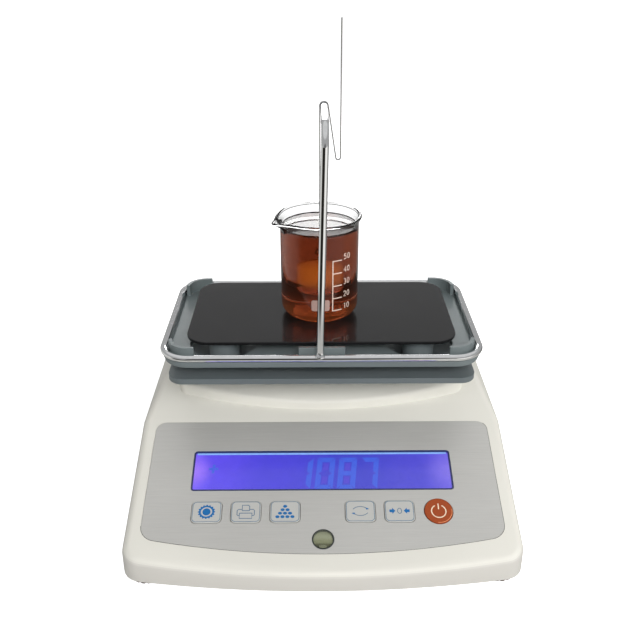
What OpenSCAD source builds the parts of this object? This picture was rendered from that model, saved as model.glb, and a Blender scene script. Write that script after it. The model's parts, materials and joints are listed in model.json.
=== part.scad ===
// Benchtop density meter. A precision balance weighs a glass sinker that hangs in a beaker of
// liquid. The balance's tray carries a wire ring with a mast, an arm and a hook for the sinker.
// Four fixed posts reach up through the tray's holes and hold a bridge plate with the beaker,
// so that the beaker isn't weighed.
// Origin: middle of the footprint, on the table. X to the right, Y to the back, Z up.

/* [Housing] */
// Width of the housing
body_w = 213.6; // [208:0.2:230]
// Depth of the housing from the middle of its front edge to its back wall
body_d = 226; // [222:1:256]
// Height of the front face, at its middle, from the housing's lower edge
front_h = 10.1; // [9:0.1:14]
// How far the front corners lie behind the middle of the front edge
front_bow = 7.4; // [4:0.2:10]
// Rise of the sloping front from the horizontal
slope_angle = 20; // [18:0.5:22]
// Radius of the front corners, seen from above
corner_r = 12; // [10:1:20]
// Radius of the rear corners, seen from above
rear_r = 16; // [12:1:20]
// Radius of the long outer edges
edge_r = 5; // [4:0.5:6]
// Wall of the moulded housing
wall = 2.5; // [2:0.1:3]
// Height at which the side walls start to lean inwards, from the lower edge
cheek_h = 41.5; // [38:0.5:48]
// Lean of the upper side walls from the vertical
cheek_angle = 31; // [24:1:33]
// Height of the shoulders beside the pedestal, from the lower edge
shoulder_h = 67.3; // [64:0.5:70]
// Radius of the shoulders' edges
shoulder_r = 8; // [6:0.5:10]

/* [Pedestal] */
// Width of the raised pedestal under the pan
pedestal_w = 174.8; // [166:1:180]
// Height of the pedestal's flat top from the housing's lower edge
pedestal_h = 77.3; // [75:0.5:82]
// Distance from the housing's front edge to the middle of the pedestal's arc
pedestal_from_edge = 102; // [101:1:110]
// Depth of the arc in the pedestal's front
pedestal_bow = 11; // [8:0.5:13]
// Height of the step at the middle of the arc
pedestal_step = 5; // [4:0.5:7]
// Rise of the ramp behind the step
ramp_angle = 30; // [27:1:34]
// Radius of the pedestal's corners, seen from above
pedestal_r = 7; // [5:0.5:10]
// Radius of the pedestal's upper edges
pedestal_edge_r = 3.4; // [3.2:0.1:4.5]

/* [Front panel] */
// Width of the overlay
panel_w = 195.6; // [188:0.2:197]
// Length of the overlay up the slope, at its middle
panel_l = 86.4; // [84:0.2:88]
// Distance up the slope from the front edge to the overlay
panel_from_edge = 12.7; // [11:0.1:14]
// How far the overlay's lower corners lie behind the middle of its lower edge
panel_bow = 8; // [4:0.2:9]
// Radius of the overlay's lower corners
panel_low_r = 9; // [7:0.5:14]
// Radius of the overlay's upper corners
panel_top_r = 6; // [4:0.5:12]
// Thickness of the overlay
panel_t = 0.8; // [0.6:0.1:1]
// How far the overlay stands proud of the slope
panel_proud = 0.2; // [0.1:0.05:0.3]

/* [Display] */
// Width of the display window
lens_w = 146.6; // [140:0.5:150]
// Height of the display window up the slope
lens_h = 26.5; // [24:0.5:29]
// Distance up the slope from the front edge to the window's middle
lens_from_edge = 64.9; // [63:0.1:66]
// Thickness of the window
lens_t = 1.8; // [1.4:0.1:1.9]
// Width of the ledge that the window rests on
lens_ledge = 2; // [1.5:0.1:2.5]
// Thickness of the display module's metal frame
module_t = 6; // [5:0.5:7]

/* [Keys] */
// Width of a key
key_w = 16.3; // [14:0.1:17.5]
// Height of a key up the slope
key_h = 13.3; // [12:0.1:15]
// Corner radius of a key
key_r = 2.7; // [2:0.1:3.5]
// Distance from one key to the next
key_pitch = 21.35; // [20.8:0.05:22]
// Distance from the middle line to the first key on each side
key_first = 20.5; // [19:0.1:21]
// Distance up the slope from the front edge to the keys' middle
key_from_edge = 37.8; // [37:0.1:39]
// Diameter of the round power key
power_d = 15.5; // [14:0.1:16.5]
// How far a key goes down
key_travel = 0.4; // [0.2:0.05:0.5]
// How far the keys stand proud of the overlay
key_proud = 0.5; // [0.3:0.1:0.6]
// Gap round a key
key_gap = 0.25; // [0.2:0.05:0.35]

/* [Level] */
// Diameter of the level's cup
level_d = 12; // [10:0.5:13]
// Distance up the slope from the front edge to the level's middle
level_from_edge = 21.2; // [20.5:0.1:22]
// Wall of the level's cup
level_wall = 0.8; // [0.6:0.1:1]

/* [Post plate and bridge] */
// Width of the fixed plate under the tray
plate_w = 175; // [168:1:178]
// Depth of the fixed plate
plate_d = 105; // [100:1:108]
// Corner radius of the fixed plate
plate_r = 9; // [6:0.5:12]
// Thickness of the fixed plate
plate_t = 3.4; // [3:0.1:4.5]
// Distance from the housing's front edge to the middle of the pan
pan_from_edge = 133; // [130:1:136]
// Diameter of a post
post_d = 18; // [14:0.5:20]
// Height of a post
post_h = 16.6; // [16:0.2:19]
// Distance from the pan's middle line to a post, along X
post_x = 56.5; // [52:0.5:58]
// Distance from the pan's middle to a post, along Y
post_y = 28.5; // [26:0.5:30]
// Width of the bridge plate
bridge_w = 155; // [146:1:160]
// Depth of the bridge plate
bridge_d = 86.5; // [80:0.5:88]
// Corner radius of the bridge plate
bridge_r = 13.5; // [10:0.5:16]
// Thickness of the bridge plate
bridge_t = 2; // [1.6:0.1:3]

/* [Weighing tray] */
// Gap between the fixed plate and the tray
tray_gap = 7.8; // [7.2:0.1:8.6]
// Thickness of the tray
tray_t = 3.5; // [3:0.1:4]
// Diameter of the tray's holes for the posts
tray_hole_d = 39.5; // [34:0.5:41]
// Height of the tray's lips and tabs
lip_h = 7.3; // [5:0.1:8]
// Thickness of the lips and tabs
lip_t = 2.3; // [1.8:0.1:2.8]
// Width of a tab
tab_w = 26; // [18:1:34]
// Play between the lips and the wire ring
lip_play = 0.8; // [0.5:0.1:1.2]

/* [Hanger] */
// Width of the wire ring, outside
ring_w = 184; // [180:1:190]
// Depth of the wire ring, outside
ring_d = 111; // [109:1:114]
// Diameter of the ring's and mast's wire
wire_d = 4; // [3.5:0.1:4.4]
// Corner radius of the ring, at the middle of the wire
ring_r = 15.5; // [14:0.5:18]
// Distance from the middle line to the mast's foot, to the right
mast_x = -1.1; // [-3:0.1:3]
// Height of the arm above the ring, along the mast
mast_h = 128; // [110:1:150]
// Lean of the mast to the right
mast_lean = 1.2; // [0:0.1:1.6]
// Radius of the bend from the mast to the arm
mast_bend_r = 11; // [8:0.5:15]
// How far the arm reaches past the hook
arm_end = 1.6; // [1.5:0.1:4]
// Depth of the grooves that hold the hook
groove_depth = 0.4; // [0.2:0.05:0.6]

/* [Hook and sinker] */
// Diameter of the hook's wire
hook_d = 0.8; // [0.6:0.05:1.2]
// Distance from the arm to the tip of the hook's handle, upwards
handle_up = 45.8; // [30:1:50]
// Distance from the arm to the bottom of the hook's V, downwards
handle_down = 30; // [22:1:36]
// Distance from the arm to the handle, sideways
handle_x = 9.3; // [7:0.1:12]
// Diameter of the sinker
sinker_d = 20; // [14:0.5:22]
// Height of the sinker
sinker_h = 20; // [16:0.5:24]
// Height of the sinker's bottom above the bridge plate
sinker_up = 15.1; // [15:0.1:20]
// Radius of the eye on the sinker
eye_r = 1.8; // [1.6:0.1:2.4]

/* [Beaker] */
// Distance from the middle line to the beaker's middle, to the right
beaker_x = -0.9; // [-3:0.1:3]
// Diameter of the beaker
beaker_d = 46; // [44:0.5:50]
// Height of the beaker
beaker_h = 61; // [56:0.5:66]
// Wall of the beaker
glass_t = 1.7; // [1.4:0.1:2.2]
// Radius at the foot of the beaker's wall
beaker_foot_r = 7; // [5:0.5:9]
// How far the rim flares out
rim_flare = 1.5; // [1:0.1:2.5]
// Reach of the spout from the beaker's axis
spout_reach = 30; // [27:0.5:32]
// Direction of the spout, seen from above, from +X
spout_angle = 207; // [180:1:240]

/* [Base and feet] */
// Thickness of the base plate
base_t = 3; // [2.5:0.1:3.6]
// Diameter of a levelling foot
foot_d = 22; // [18:0.5:26]
// Thickness of a levelling foot's disc
foot_t = 2.9; // [2.4:0.1:4]
// Thickness of a foot's rubber pad
pad_t = 1.3; // [1:0.1:2]
// Distance from the side of the body to a foot's middle
foot_from_side = 13; // [12.5:0.5:20]
// Distance from the front or back edge to a foot's middle
foot_from_edge = 21; // [18:0.5:26]
// Diameter of a foot's stud
stud_d = 6; // [5:0.5:8]
// Length of a foot's stud above the disc
stud_l = 10.5; // [9:0.5:11]

/* [Load cell] */
// Length of the load cell
cell_l = 96; // [90:1:110]
// Width of the load cell
cell_w = 22; // [20:0.5:26]
// Height of the load cell
cell_h = 16; // [14:0.5:18]
// Length of a clamped end of the load cell
cell_end = 26; // [24:0.5:28]
// Thickness of the spacer under the load cell
spacer_t = 6; // [5:0.5:8]
// How far the pan sinks at full load
pan_travel = 0.3; // [0.2:0.05:0.4]
// Diameter of the pan's spindle
spindle_d = 12; // [9:0.5:13]
// Reach of the spider's arms from the spindle
spider_reach = 36; // [30:1:40]

/* [Hidden] */

cream = [0.89, 0.88, 0.83];
grey = [0.40, 0.43, 0.43];
pcb_green = [0.10, 0.36, 0.22];
steel = [0.72, 0.73, 0.75];

// Small gaps that the whole model shares.
slip = 0.15;      // loose pieces that lie in a pocket
clear = 0.3;      // moving pieces beside each other
foot_gap = 0.5;   // above a levelling foot's disc
over = 1;         // how far a cutting tool runs past a face
bow_steps = 9;
corner_steps = 6;

// Levels, from the table up.
lift = pad_t + foot_t + foot_gap;
front_z = lift + front_h;
cheek_z = lift + cheek_h;
shoulder_z = lift + shoulder_h;
pedestal_z = lift + pedestal_h;
plate_top = pedestal_z + plate_t;
tray_z = plate_top + tray_gap;
tray_top = tray_z + tray_t;
ring_z = tray_top + clear + wire_d / 2;
bridge_z = plate_top + post_h;
beaker_z = bridge_z + bridge_t;
base_top = lift + base_t;

// Places seen from above.
front_y = -body_d / 2;
rear_y = body_d / 2;
pan_y = front_y + pan_from_edge;
pedestal_y = front_y + pedestal_from_edge;
pedestal_rear_y = rear_y - 18;
foot_front_y = front_y + foot_from_edge;
foot_rear_y = rear_y - foot_from_edge;
foot_x = body_w / 2 - foot_from_side;
feet = [[-foot_x, foot_front_y], [foot_x, foot_front_y], [-foot_x, foot_rear_y], [foot_x, foot_rear_y]];
posts = [[-post_x, pan_y - post_y], [post_x, pan_y - post_y],
    [-post_x, pan_y + post_y], [post_x, pan_y + post_y]];

// Depths below the slope's surface, along its normal.
panel_seat = panel_t - panel_proud;
cap_top = panel_proud + key_proud;
flange_t = 1.2;
flange_w = 1.2;
flange_top = -wall - clear;
switch_gap = key_travel + 0.1;
stem_d = 4;
stem_l = 2.2;
switch_top = flange_top - flange_t - stem_l - switch_gap;
switch_h = 4.3;
board_t = 1.6;
board_top = switch_top - switch_h;

// Tray and ring.
ring_mid_w = ring_w - wire_d;
ring_mid_d = ring_d - wire_d;
ring_inner = wire_d / 2 + lip_play;
lip_w = ring_mid_w - 2 * ring_inner;
lip_d = ring_mid_d - 2 * ring_inner;
lip_r = ring_r - ring_inner;
tray_w = ring_mid_w + 1;
tray_d = ring_mid_d + 1;
tray_r = ring_r + 0.5;
groove_w = lip_play + 0.8;

// Hanger.
mast_y = pan_y - ring_mid_d / 2;
arm_x = mast_x + mast_h * sin(mast_lean);
arm_z = ring_z + mast_h * cos(mast_lean);
arm_l = pan_y - mast_y;
loop_r = wire_d / 2 - groove_depth + clear + hook_d / 2;
leg_x = arm_x - loop_r;
sinker_z = beaker_z + sinker_up;
eye_z = sinker_z + sinker_h + hook_d / 2 + eye_r;
link_z = eye_z + 2 * eye_r - hook_d - clear / 2;

// Load cell stack.
mount_h = 4;
cell_z = base_top + mount_h + spacer_t;
cell_top = cell_z + cell_h;
live_gap = pan_travel + 0.05;
live_z = cell_top + live_gap;
live_t = 5;
arm_plate_z = live_z + live_t;
arm_plate_t = 4;
spindle_z = arm_plate_z + arm_plate_t;
spider_t = 4;
spider_z = tray_z - spider_t;
spindle_hole_d = spindle_d + 8;
spigot_d = 8;
spigot_h = 1.8;
stop_gap = pan_travel + 0.1;

function slope_z(y) = front_z + (y - front_y) * tan(slope_angle);
function ramp_z(y) = slope_z(pedestal_y) + pedestal_step + (y - pedestal_y) * tan(ramp_angle);

// Right half of an edge that bows forward in the middle, with its corner, drawn inset by d.
function bow_turn(x, half, bow) = atan(2 * bow * x / (half * half));
function half_front(w, y0, bow, r, d) =
    let (half = w / 2 - r)
    let (reach = half + r * sin(bow_turn(half, half, bow)))
    let (turn = bow_turn(reach, half, bow))
    let (cy = y0 + bow * pow(reach / half, 2) + r * cos(turn))
    concat(
        [for (i = [1:bow_steps]) let (x = reach * i / bow_steps, t = bow_turn(x, half, bow))
            [x - d * sin(t), y0 + bow * pow(x / half, 2) + d * cos(t)]],
        [for (k = [1:corner_steps]) let (g = (turn - 90) * (1 - k / corner_steps))
            [half + (r - d) * cos(g), cy + (r - d) * sin(g)]]);
function half_rear(w, y1, r, d) =
    [for (k = [0:corner_steps]) let (g = 90 * k / corner_steps)
        [w / 2 - r + (r - d) * cos(g), y1 - r + (r - d) * sin(g)]];
function mirrored(points) = [for (i = [len(points) - 1:-1:0]) [-points[i][0], points[i][1]]];
function bowed_outline(w, y0, y1, bow, r0, r1, d) =
    let (right = concat(half_front(w, y0, bow, r0, d), half_rear(w, y1, r1, d)))
    concat([[0, y0 + d]], right, mirrored(right));
function body_outline(d) = bowed_outline(body_w, front_y, rear_y, front_bow, corner_r, rear_r, d);

module rounded_rect(w, d, r) {
    square([w - 2 * r, d], center = true);
    square([w, d - 2 * r], center = true);
    for (x = [-1, 1], y = [-1, 1])
        translate([x * (w / 2 - r), y * (d / 2 - r)])
            circle(r, $fn = 48);
}

module slab(w, d, r, t) {
    linear_extrude(t)
        rounded_rect(w, d, r);
}

// Puts its children on the sloping front: x across, v up the slope, h along its normal.
module on_slope(x, v, h) {
    translate([0, front_y, front_z])
        rotate([slope_angle, 0, 0])
            translate([x, v, h])
                children();
}

module rod(d, h) {
    cylinder(h = h, d = d, $fn = 48);
}

// A rod whose far end is rounded over, in steps of 15 degrees.
module round_ended_rod(d, l) {
    rotate_extrude($fn = 48)
        polygon(concat(
            [[0, 0]],
            [[d / 2, 0]],
            [for (a = [0:15:90]) [cos(a) * d / 2, l + sin(a) * d / 2]]));
}

module countersunk_screw(d, l) {
    rod(d, l);
    translate([0, 0, l - d * 0.55])
        cylinder(h = d * 0.55, d1 = d, d2 = d * 1.9, $fn = 48);
}

module cap_screw(d, l) {
    rod(d, l);
    translate([0, 0, -d])
        difference() {
            rod(d * 1.6, d);
            translate([0, 0, -over])
                cylinder(h = over + d * 0.5, d = d * 0.9, $fn = 6);
        }
}

/* Housing */

side_z = cheek_z - edge_r * tan(cheek_angle / 2);
side_y = front_y + (side_z + edge_r / cos(slope_angle) - front_z) / tan(slope_angle);
shoulder_mid_z = shoulder_z - shoulder_r;
shoulder_x = body_w / 2 - (shoulder_mid_z - cheek_z) * tan(cheek_angle) - shoulder_r / cos(cheek_angle);
shoulder_y = front_y + (shoulder_mid_z + shoulder_r / cos(slope_angle) - front_z) / tan(slope_angle);
shoulder_rear_y = rear_y - shoulder_r - 5;

// The wedge-shaped body, shrunk by d on every side but the bottom.
module body_form(d) {
    r = edge_r - d;
    faces = d > 0 ? 20 : 32;
    hull() {
        translate([0, 0, lift - d])
            linear_extrude(1)
                polygon(body_outline(d));
        for (s = [-1, 1]) {
            for (p = half_front(body_w, front_y, front_bow, corner_r, edge_r))
                translate([s * p[0], p[1], slope_z(p[1]) - edge_r / cos(slope_angle)])
                    sphere(r, $fn = faces);
            translate([s * (body_w / 2 - edge_r), side_y, side_z])
                sphere(r, $fn = faces);
            for (p = half_rear(body_w, rear_y, rear_r, edge_r))
                translate([s * p[0], p[1], side_z])
                    sphere(r, $fn = faces);
            for (y = [shoulder_y, shoulder_rear_y])
                translate([s * shoulder_x, y, shoulder_mid_z])
                    sphere(shoulder_r - d, $fn = faces);
        }
    }
}

// The pedestal: an arc-shaped step, a ramp and a flat top, shrunk by d.
module pedestal_form(d) {
    e = pedestal_edge_r;
    faces = d > 0 ? 16 : 28;
    low_z = slope_z(pedestal_y) - 8;
    crease_y = pedestal_y
        + (pedestal_z - e + e / cos(ramp_angle) - ramp_z(pedestal_y)) / tan(ramp_angle);
    hull() {
        translate([0, 0, low_z])
            linear_extrude(1)
                polygon(bowed_outline(pedestal_w, pedestal_y, pedestal_rear_y, pedestal_bow,
                    pedestal_r, pedestal_r, d));
        for (s = [-1, 1]) {
            for (p = concat([[0, pedestal_y + e]],
                    half_front(pedestal_w, pedestal_y, pedestal_bow, pedestal_r, e)))
                translate([s * p[0], p[1], ramp_z(p[1]) - e / cos(ramp_angle)])
                    sphere(e - d, $fn = faces);
            translate([s * (pedestal_w / 2 - e), crease_y, pedestal_z - e])
                sphere(e - d, $fn = faces);
            for (p = half_rear(pedestal_w, pedestal_rear_y, pedestal_r, e))
                translate([s * p[0], p[1], pedestal_z - e])
                    sphere(e - d, $fn = faces);
        }
    }
}

housing_screw_x = 66;
housing_screw_from_edge = 12;
housing_screws_at = [for (x = [-1, 1], y = [front_y + housing_screw_from_edge + front_bow,
    rear_y - housing_screw_from_edge]) [x * housing_screw_x, y]];
housing_screw_d = 3;
housing_screw_l = 10;
boss_d = 8;
plate_screw_x = 34;
plate_screw_front = 11;
plate_screw_rear = 36;
plate_screws_at = [for (x = [-1, 1], y = [pan_y - plate_screw_front, pan_y + plate_screw_rear]) [x * plate_screw_x, y]];
plate_screw_d = 3;
plate_screw_l = 11;
plate_boss_h = 20;
key_rows = [-key_first - 2 * key_pitch, -key_first - key_pitch, -key_first, key_first,
    key_first + key_pitch];
power_x = key_first + 2 * key_pitch;
jack_x = 44;
jack_d = 8;
serial_x = 8;
serial_w = 19;
serial_h = 10.5;

module bosses() {
    for (p = housing_screws_at)
        translate([p[0], p[1], base_top])
            rod(boss_d, shoulder_z);
}

module top_housing() {
    color(cream)
        difference() {
            union() {
                difference() {
                    union() {
                        body_form(0);
                        pedestal_form(0);
                    }
                    body_form(wall);
                    pedestal_form(wall);
                }
                intersection() {
                    bosses();
                    body_form(wall / 2);
                }
                for (p = plate_screws_at)
                    translate([p[0], p[1], pedestal_z - plate_boss_h])
                        rod(boss_d, plate_boss_h);
            }
            on_slope(0, 0, -panel_seat)
                linear_extrude(panel_seat + over)
                    polygon(panel_outline(-slip));
            on_slope(0, lens_from_edge, -lens_seat)
                slab(lens_w + 2 * slip, lens_h + 2 * slip, lens_r + slip, lens_seat + over);
            on_slope(0, lens_from_edge, -wall - over)
                slab(lens_w - 2 * lens_ledge, lens_h - 2 * lens_ledge, lens_r, wall + 2 * over);
            for (p = display_screws_at)
                on_slope(p[0], lens_from_edge + p[1], -wall - over)
                    rod(display_screw_d, over + display_screw_bite);
            for (x = key_rows)
                on_slope(x, key_from_edge, -wall - over)
                    slab(key_w + 2 * key_gap, key_h + 2 * key_gap, key_r + key_gap, wall + 2 * over);
            on_slope(power_x, key_from_edge, -wall - over)
                rod(power_d + 2 * key_gap, wall + 2 * over);
            on_slope(0, level_from_edge, -wall - over)
                rod(level_d, wall + 2 * over);
            translate([0, pan_y, ramp_z(pan_y - spindle_hole_d)])
                rod(spindle_hole_d, pedestal_z);
            for (p = housing_screws_at)
                translate([p[0], p[1], base_top - over])
                    rod(housing_screw_d, housing_screw_l - base_t + over);
            for (p = plate_screws_at)
                translate([p[0], p[1], pedestal_z + plate_t - plate_screw_l])
                    rod(plate_screw_d, plate_screw_l);
            translate([jack_x, rear_y - wall - over, port_z])
                rotate([-90, 0, 0])
                    rod(jack_d + 2 * slip, wall + 2 * over);
            translate([serial_x, rear_y + over, port_z])
                rotate([90, 0, 0])
                    slab(serial_w, serial_h, 2, wall + 2 * over);
        }
}

module base_plate() {
    rib_t = 1.6;
    rib_h = 3;
    color(cream)
        difference() {
            union() {
                translate([0, 0, lift])
                    linear_extrude(base_t)
                        polygon(body_outline(wall + slip));
                for (p = feet)
                    translate([p[0], p[1], base_top])
                        rod(insert_d + 5, insert_l - base_t);
                translate([cell_fixed_x, pan_y, base_top])
                    slab(cell_end, cell_w + 6, 2, mount_h);
                translate([stop_x, pan_y, base_top])
                    rod(14, mount_h);
                for (y = [pan_y - 34, pan_y + 28])
                    translate([-78, y, base_top])
                        cube([130, rib_t, rib_h]);
                for (x = [-66, 2])
                    translate([x, pan_y - 34, base_top])
                        cube([rib_t, 12, rib_h]);
                for (p = board_posts)
                    translate([p[0], p[1], base_top])
                        rod(6, board_z - base_top);
            }
            for (p = feet)
                translate([p[0], p[1], lift - over])
                    rod(insert_d, insert_l + 2 * over);
            for (p = housing_screws_at) {
                translate([p[0], p[1], lift - over])
                    rod(housing_screw_d + 2 * slip, base_t + 2 * over);
                translate([p[0], p[1], lift - over])
                    rod(2 * housing_screw_d, over + housing_screw_d * 0.5);
            }
            for (x = cell_bolt_x)
                translate([x, pan_y, lift - over]) {
                    rod(cell_bolt_d + 2 * slip, base_t + mount_h + 2 * over);
                    rod(cell_bolt_d * 1.6 + 2 * slip, over + cell_bolt_d);
                }
            translate([stop_x, pan_y, lift + 1.5])
                rod(stop_d, base_t + mount_h);
        }
}

module housing_screws() {
    color(steel)
        for (p = housing_screws_at)
            translate([p[0], p[1], lift + 0.2]) {
                rod(housing_screw_d, housing_screw_l - 0.4);
                rod(housing_screw_d * 1.8, housing_screw_d * 0.5 - 0.2);
            }
}

/* Front panel, display and keys */

lens_r = 1.8;
lens_seat = lens_t - panel_proud;
function panel_outline(d) = bowed_outline(panel_w, panel_from_edge, panel_from_edge + panel_l,
    panel_bow, panel_low_r, panel_top_r, d);

module panel_overlay() {
    color([0.75, 0.74, 0.72])
        on_slope(0, 0, -panel_seat)
            difference() {
                linear_extrude(panel_t)
                    polygon(panel_outline(0));
                translate([0, lens_from_edge, -over])
                    slab(lens_w + 2 * slip, lens_h + 2 * slip, lens_r + slip, panel_t + 2 * over);
                for (x = key_rows)
                    translate([x, key_from_edge, -over])
                        slab(key_w + 2 * key_gap, key_h + 2 * key_gap, key_r + key_gap,
                            panel_t + 2 * over);
                translate([power_x, key_from_edge, -over])
                    rod(power_d + 2 * key_gap, panel_t + 2 * over);
                translate([0, level_from_edge, -over])
                    rod(level_d, panel_t + 2 * over);
            }
}

module display_lens() {
    color([0.30, 0.26, 0.85])
        on_slope(0, lens_from_edge, -lens_seat)
            slab(lens_w, lens_h, lens_r, lens_t);
}

module_w = lens_w + 4;
module_h = lens_h + 2;
module_gap = 0.05;
module_low = -wall - module_gap - module_t;
module_ear = 6;
display_screw_d = 2;
display_screw_bite = 1.6;
display_screws_at = [for (x = [-1, 1], y = [-1, 1])
    [x * (module_w / 2 + module_ear / 2), y * (module_h / 2 - 4)]];

// A metal frame round the glass, with its circuit board behind and an ear for each screw.
module display_module() {
    rim = 2.5;
    color([0.22, 0.20, 0.55])
        on_slope(0, lens_from_edge, module_low)
            difference() {
                union() {
                    slab(module_w, module_h, 1, module_t);
                    slab(module_w + 2 * module_ear, module_h, 1, board_t);
                    for (p = display_screws_at)
                        translate([p[0], p[1], 0])
                            rod(module_ear - 1, module_t);
                }
                translate([0, 0, module_t - 0.6])
                    slab(module_w - 2 * rim, module_h - 2 * rim, 1, over + 0.6);
                for (p = display_screws_at)
                    translate([p[0], p[1], -over])
                        rod(display_screw_d, module_t + 2 * over);
            }
}

module display_screws() {
    color(steel)
        for (p = display_screws_at)
            on_slope(p[0], lens_from_edge + p[1], module_low) {
                rod(display_screw_d, module_t + module_gap + display_screw_bite - 0.1);
                translate([0, 0, -1.2])
                    rod(display_screw_d * 1.9, 1.2);
            }
}

// Posts carry the key board in the gaps between the keys' flanges.
key_post_d = 3.4;
key_post_v = (max(key_h, power_d) + 2 * flange_w) / 2 + clear + key_post_d / 2;
key_post_x = key_first + 1.5 * key_pitch;
board_margin = 9;
board_w = 2 * power_x + power_d + board_margin;
board_h = 2 * key_post_v + key_post_d;

module key_board() {
    color(pcb_green)
        on_slope(0, key_from_edge, board_top - board_t) {
            slab(board_w, board_h, 2, board_t);
            for (x = [-key_post_x, key_post_x], v = [-key_post_v, key_post_v])
                translate([x, v, board_t])
                    rod(key_post_d, -wall - board_top);
        }
}

module key_switches() {
    body_h = switch_h - 0.9;
    color([0.15, 0.15, 0.16])
        for (x = concat(key_rows, [power_x]))
            on_slope(x, key_from_edge, board_top) {
                slab(6, 6, 0.6, body_h);
                rod(3.4, switch_h);
            }
}

// A cap that stands through the overlay, with a flange under the wall and a stem to its switch.
module key_cap() {
    cap_l = cap_top - flange_top;
    translate([0, 0, flange_top])
        slab(key_w, key_h, key_r, cap_l);
    translate([0, 0, flange_top - flange_t])
        slab(key_w + 2 * flange_w, key_h + flange_w, key_r, flange_t);
    translate([0, 0, flange_top - flange_t - stem_l])
        rod(stem_d, stem_l);
}

module key_at(x) {
    color([0.72, 0.74, 0.74])
        on_slope(x, key_from_edge, 0)
            key_cap();
}

module key_settings() {
    key_at(key_rows[0]);
}

module key_print() {
    key_at(key_rows[1]);
}

module key_enter() {
    key_at(key_rows[2]);
}

module key_mode() {
    key_at(key_rows[3]);
}

module key_zero() {
    key_at(key_rows[4]);
}

module key_power() {
    color([0.82, 0.33, 0.10])
        on_slope(power_x, key_from_edge, flange_top) {
            rod(power_d, cap_top - flange_top);
            translate([0, 0, -flange_t])
                rod(power_d + 2 * flange_w, flange_t);
            translate([0, 0, -flange_t - stem_l])
                rod(stem_d, stem_l);
        }
}

level_cup_h = 7.5;

module level_cup() {
    color([0.16, 0.17, 0.16])
        on_slope(0, level_from_edge, panel_proud - level_cup_h)
            difference() {
                rod(level_d, level_cup_h);
                translate([0, 0, 1.2])
                    rod(level_d - 2 * level_wall, level_cup_h);
            }
}

module level_vial() {
    color([0.52, 0.54, 0.38])
        on_slope(0, level_from_edge, panel_proud - level_cup_h + 1.2)
            rod(level_d - 2 * level_wall, level_cup_h - 1.2 - 0.6);
}

/* Post plate, posts and bridge */

post_screw_d = 4;
post_screw_l = 10;
post_head_t = 1.6;

module post_plate() {
    color(grey)
        difference() {
            translate([0, pan_y, pedestal_z])
                slab(plate_w, plate_d, plate_r, plate_t);
            translate([0, pan_y, pedestal_z - over])
                rod(spindle_hole_d, plate_t + 2 * over);
            for (p = plate_screws_at)
                translate([p[0], p[1], pedestal_z]) {
                    translate([0, 0, -over])
                        rod(plate_screw_d + 2 * slip, plate_t + 2 * over);
                    translate([0, 0, plate_t - plate_screw_d * 0.55 - 0.1])
                        cylinder(h = plate_screw_d * 0.55 + 0.2, d1 = plate_screw_d + 2 * slip,
                            d2 = plate_screw_d * 1.9 + 4 * slip, $fn = 48);
                }
            for (p = posts)
                translate([p[0], p[1], pedestal_z - over]) {
                    rod(post_screw_d + 2 * slip, plate_t + 2 * over);
                    rod(post_screw_d * 1.9 + 2 * slip, over + post_head_t);
                }
        }
}

module plate_screws() {
    color(steel)
        for (p = plate_screws_at)
            translate([p[0], p[1], plate_top - plate_screw_l])
                countersunk_screw(plate_screw_d, plate_screw_l - 0.1);
}

module post(i) {
    chamfer = 0.8;
    color(grey)
        translate([posts[i][0], posts[i][1], plate_top])
            difference() {
                union() {
                    rod(post_d, post_h - chamfer);
                    translate([0, 0, post_h - chamfer])
                        cylinder(h = chamfer, d1 = post_d, d2 = post_d - 2 * chamfer, $fn = 48);
                }
                translate([0, 0, -over])
                    rod(post_screw_d, post_screw_l - plate_t + over);
            }
}

module post_front_left() {
    post(0);
}

module post_front_right() {
    post(1);
}

module post_rear_left() {
    post(2);
}

module post_rear_right() {
    post(3);
}

module post_screws() {
    color(steel)
        for (p = posts)
            translate([p[0], p[1], pedestal_z + 0.1]) {
                rod(post_screw_d, post_screw_l - 0.3);
                rod(post_screw_d * 1.9, post_head_t - 0.1);
            }
}

module bridge_plate() {
    color([0.10, 0.10, 0.11])
        translate([0, pan_y, bridge_z])
            slab(bridge_w, bridge_d, bridge_r, bridge_t);
}

/* Beaker */

spout_r = 3;
spout_drop = 9;

// The beaker's form, filled, shrunk by d: a rounded foot, a straight wall and a flared rim.
module beaker_form(d) {
    r = beaker_d / 2 - d;
    foot = beaker_foot_r - d * 0.5;
    top = beaker_h + (d > 0 ? over : 0);
    flare_h = 4;
    rotate_extrude($fn = 96)
        polygon(concat(
            [[0, d]],
            [for (k = [0:6]) let (g = -90 + 15 * k)
                [r - foot + foot * cos(g), d + foot + foot * sin(g)]],
            [for (k = [0:5]) let (t = k / 5)
                [r + rim_flare * t * t, beaker_h - flare_h + flare_h * t]],
            d > 0 ? [[r + rim_flare, top]] : [],
            [[0, top]]));
}

// The spout's form, filled, shrunk by d. It leaves the wall below the rim.
module spout_form(d) {
    lip = spout_reach - spout_r;
    top = beaker_h - 0.4 + (d > 0 ? over : 0);
    rotate([0, 0, spout_angle])
        hull() {
            translate([lip, 0, beaker_h - 1.6 + d])
                cylinder(h = top - beaker_h + 1.6 - d, r = spout_r - d * 0.8, $fn = 32);
            translate([beaker_d / 2 - 5, 0, beaker_h - spout_drop + d])
                cylinder(h = 1, r = 2, $fn = 24);
            for (s = [-1, 1])
                translate([beaker_d / 2 - 5, s * (9 - d), beaker_h - 3 + d])
                    cylinder(h = top - beaker_h + 3 - d, r = 2, $fn = 24);
        }
}

module beaker() {
    color([0.80, 0.86, 0.88, 0.4])
        translate([beaker_x, pan_y, beaker_z])
            difference() {
                union() {
                    beaker_form(0);
                    spout_form(0);
                }
                beaker_form(glass_t);
                spout_form(glass_t);
            }
}

/* Weighing tray */

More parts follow.
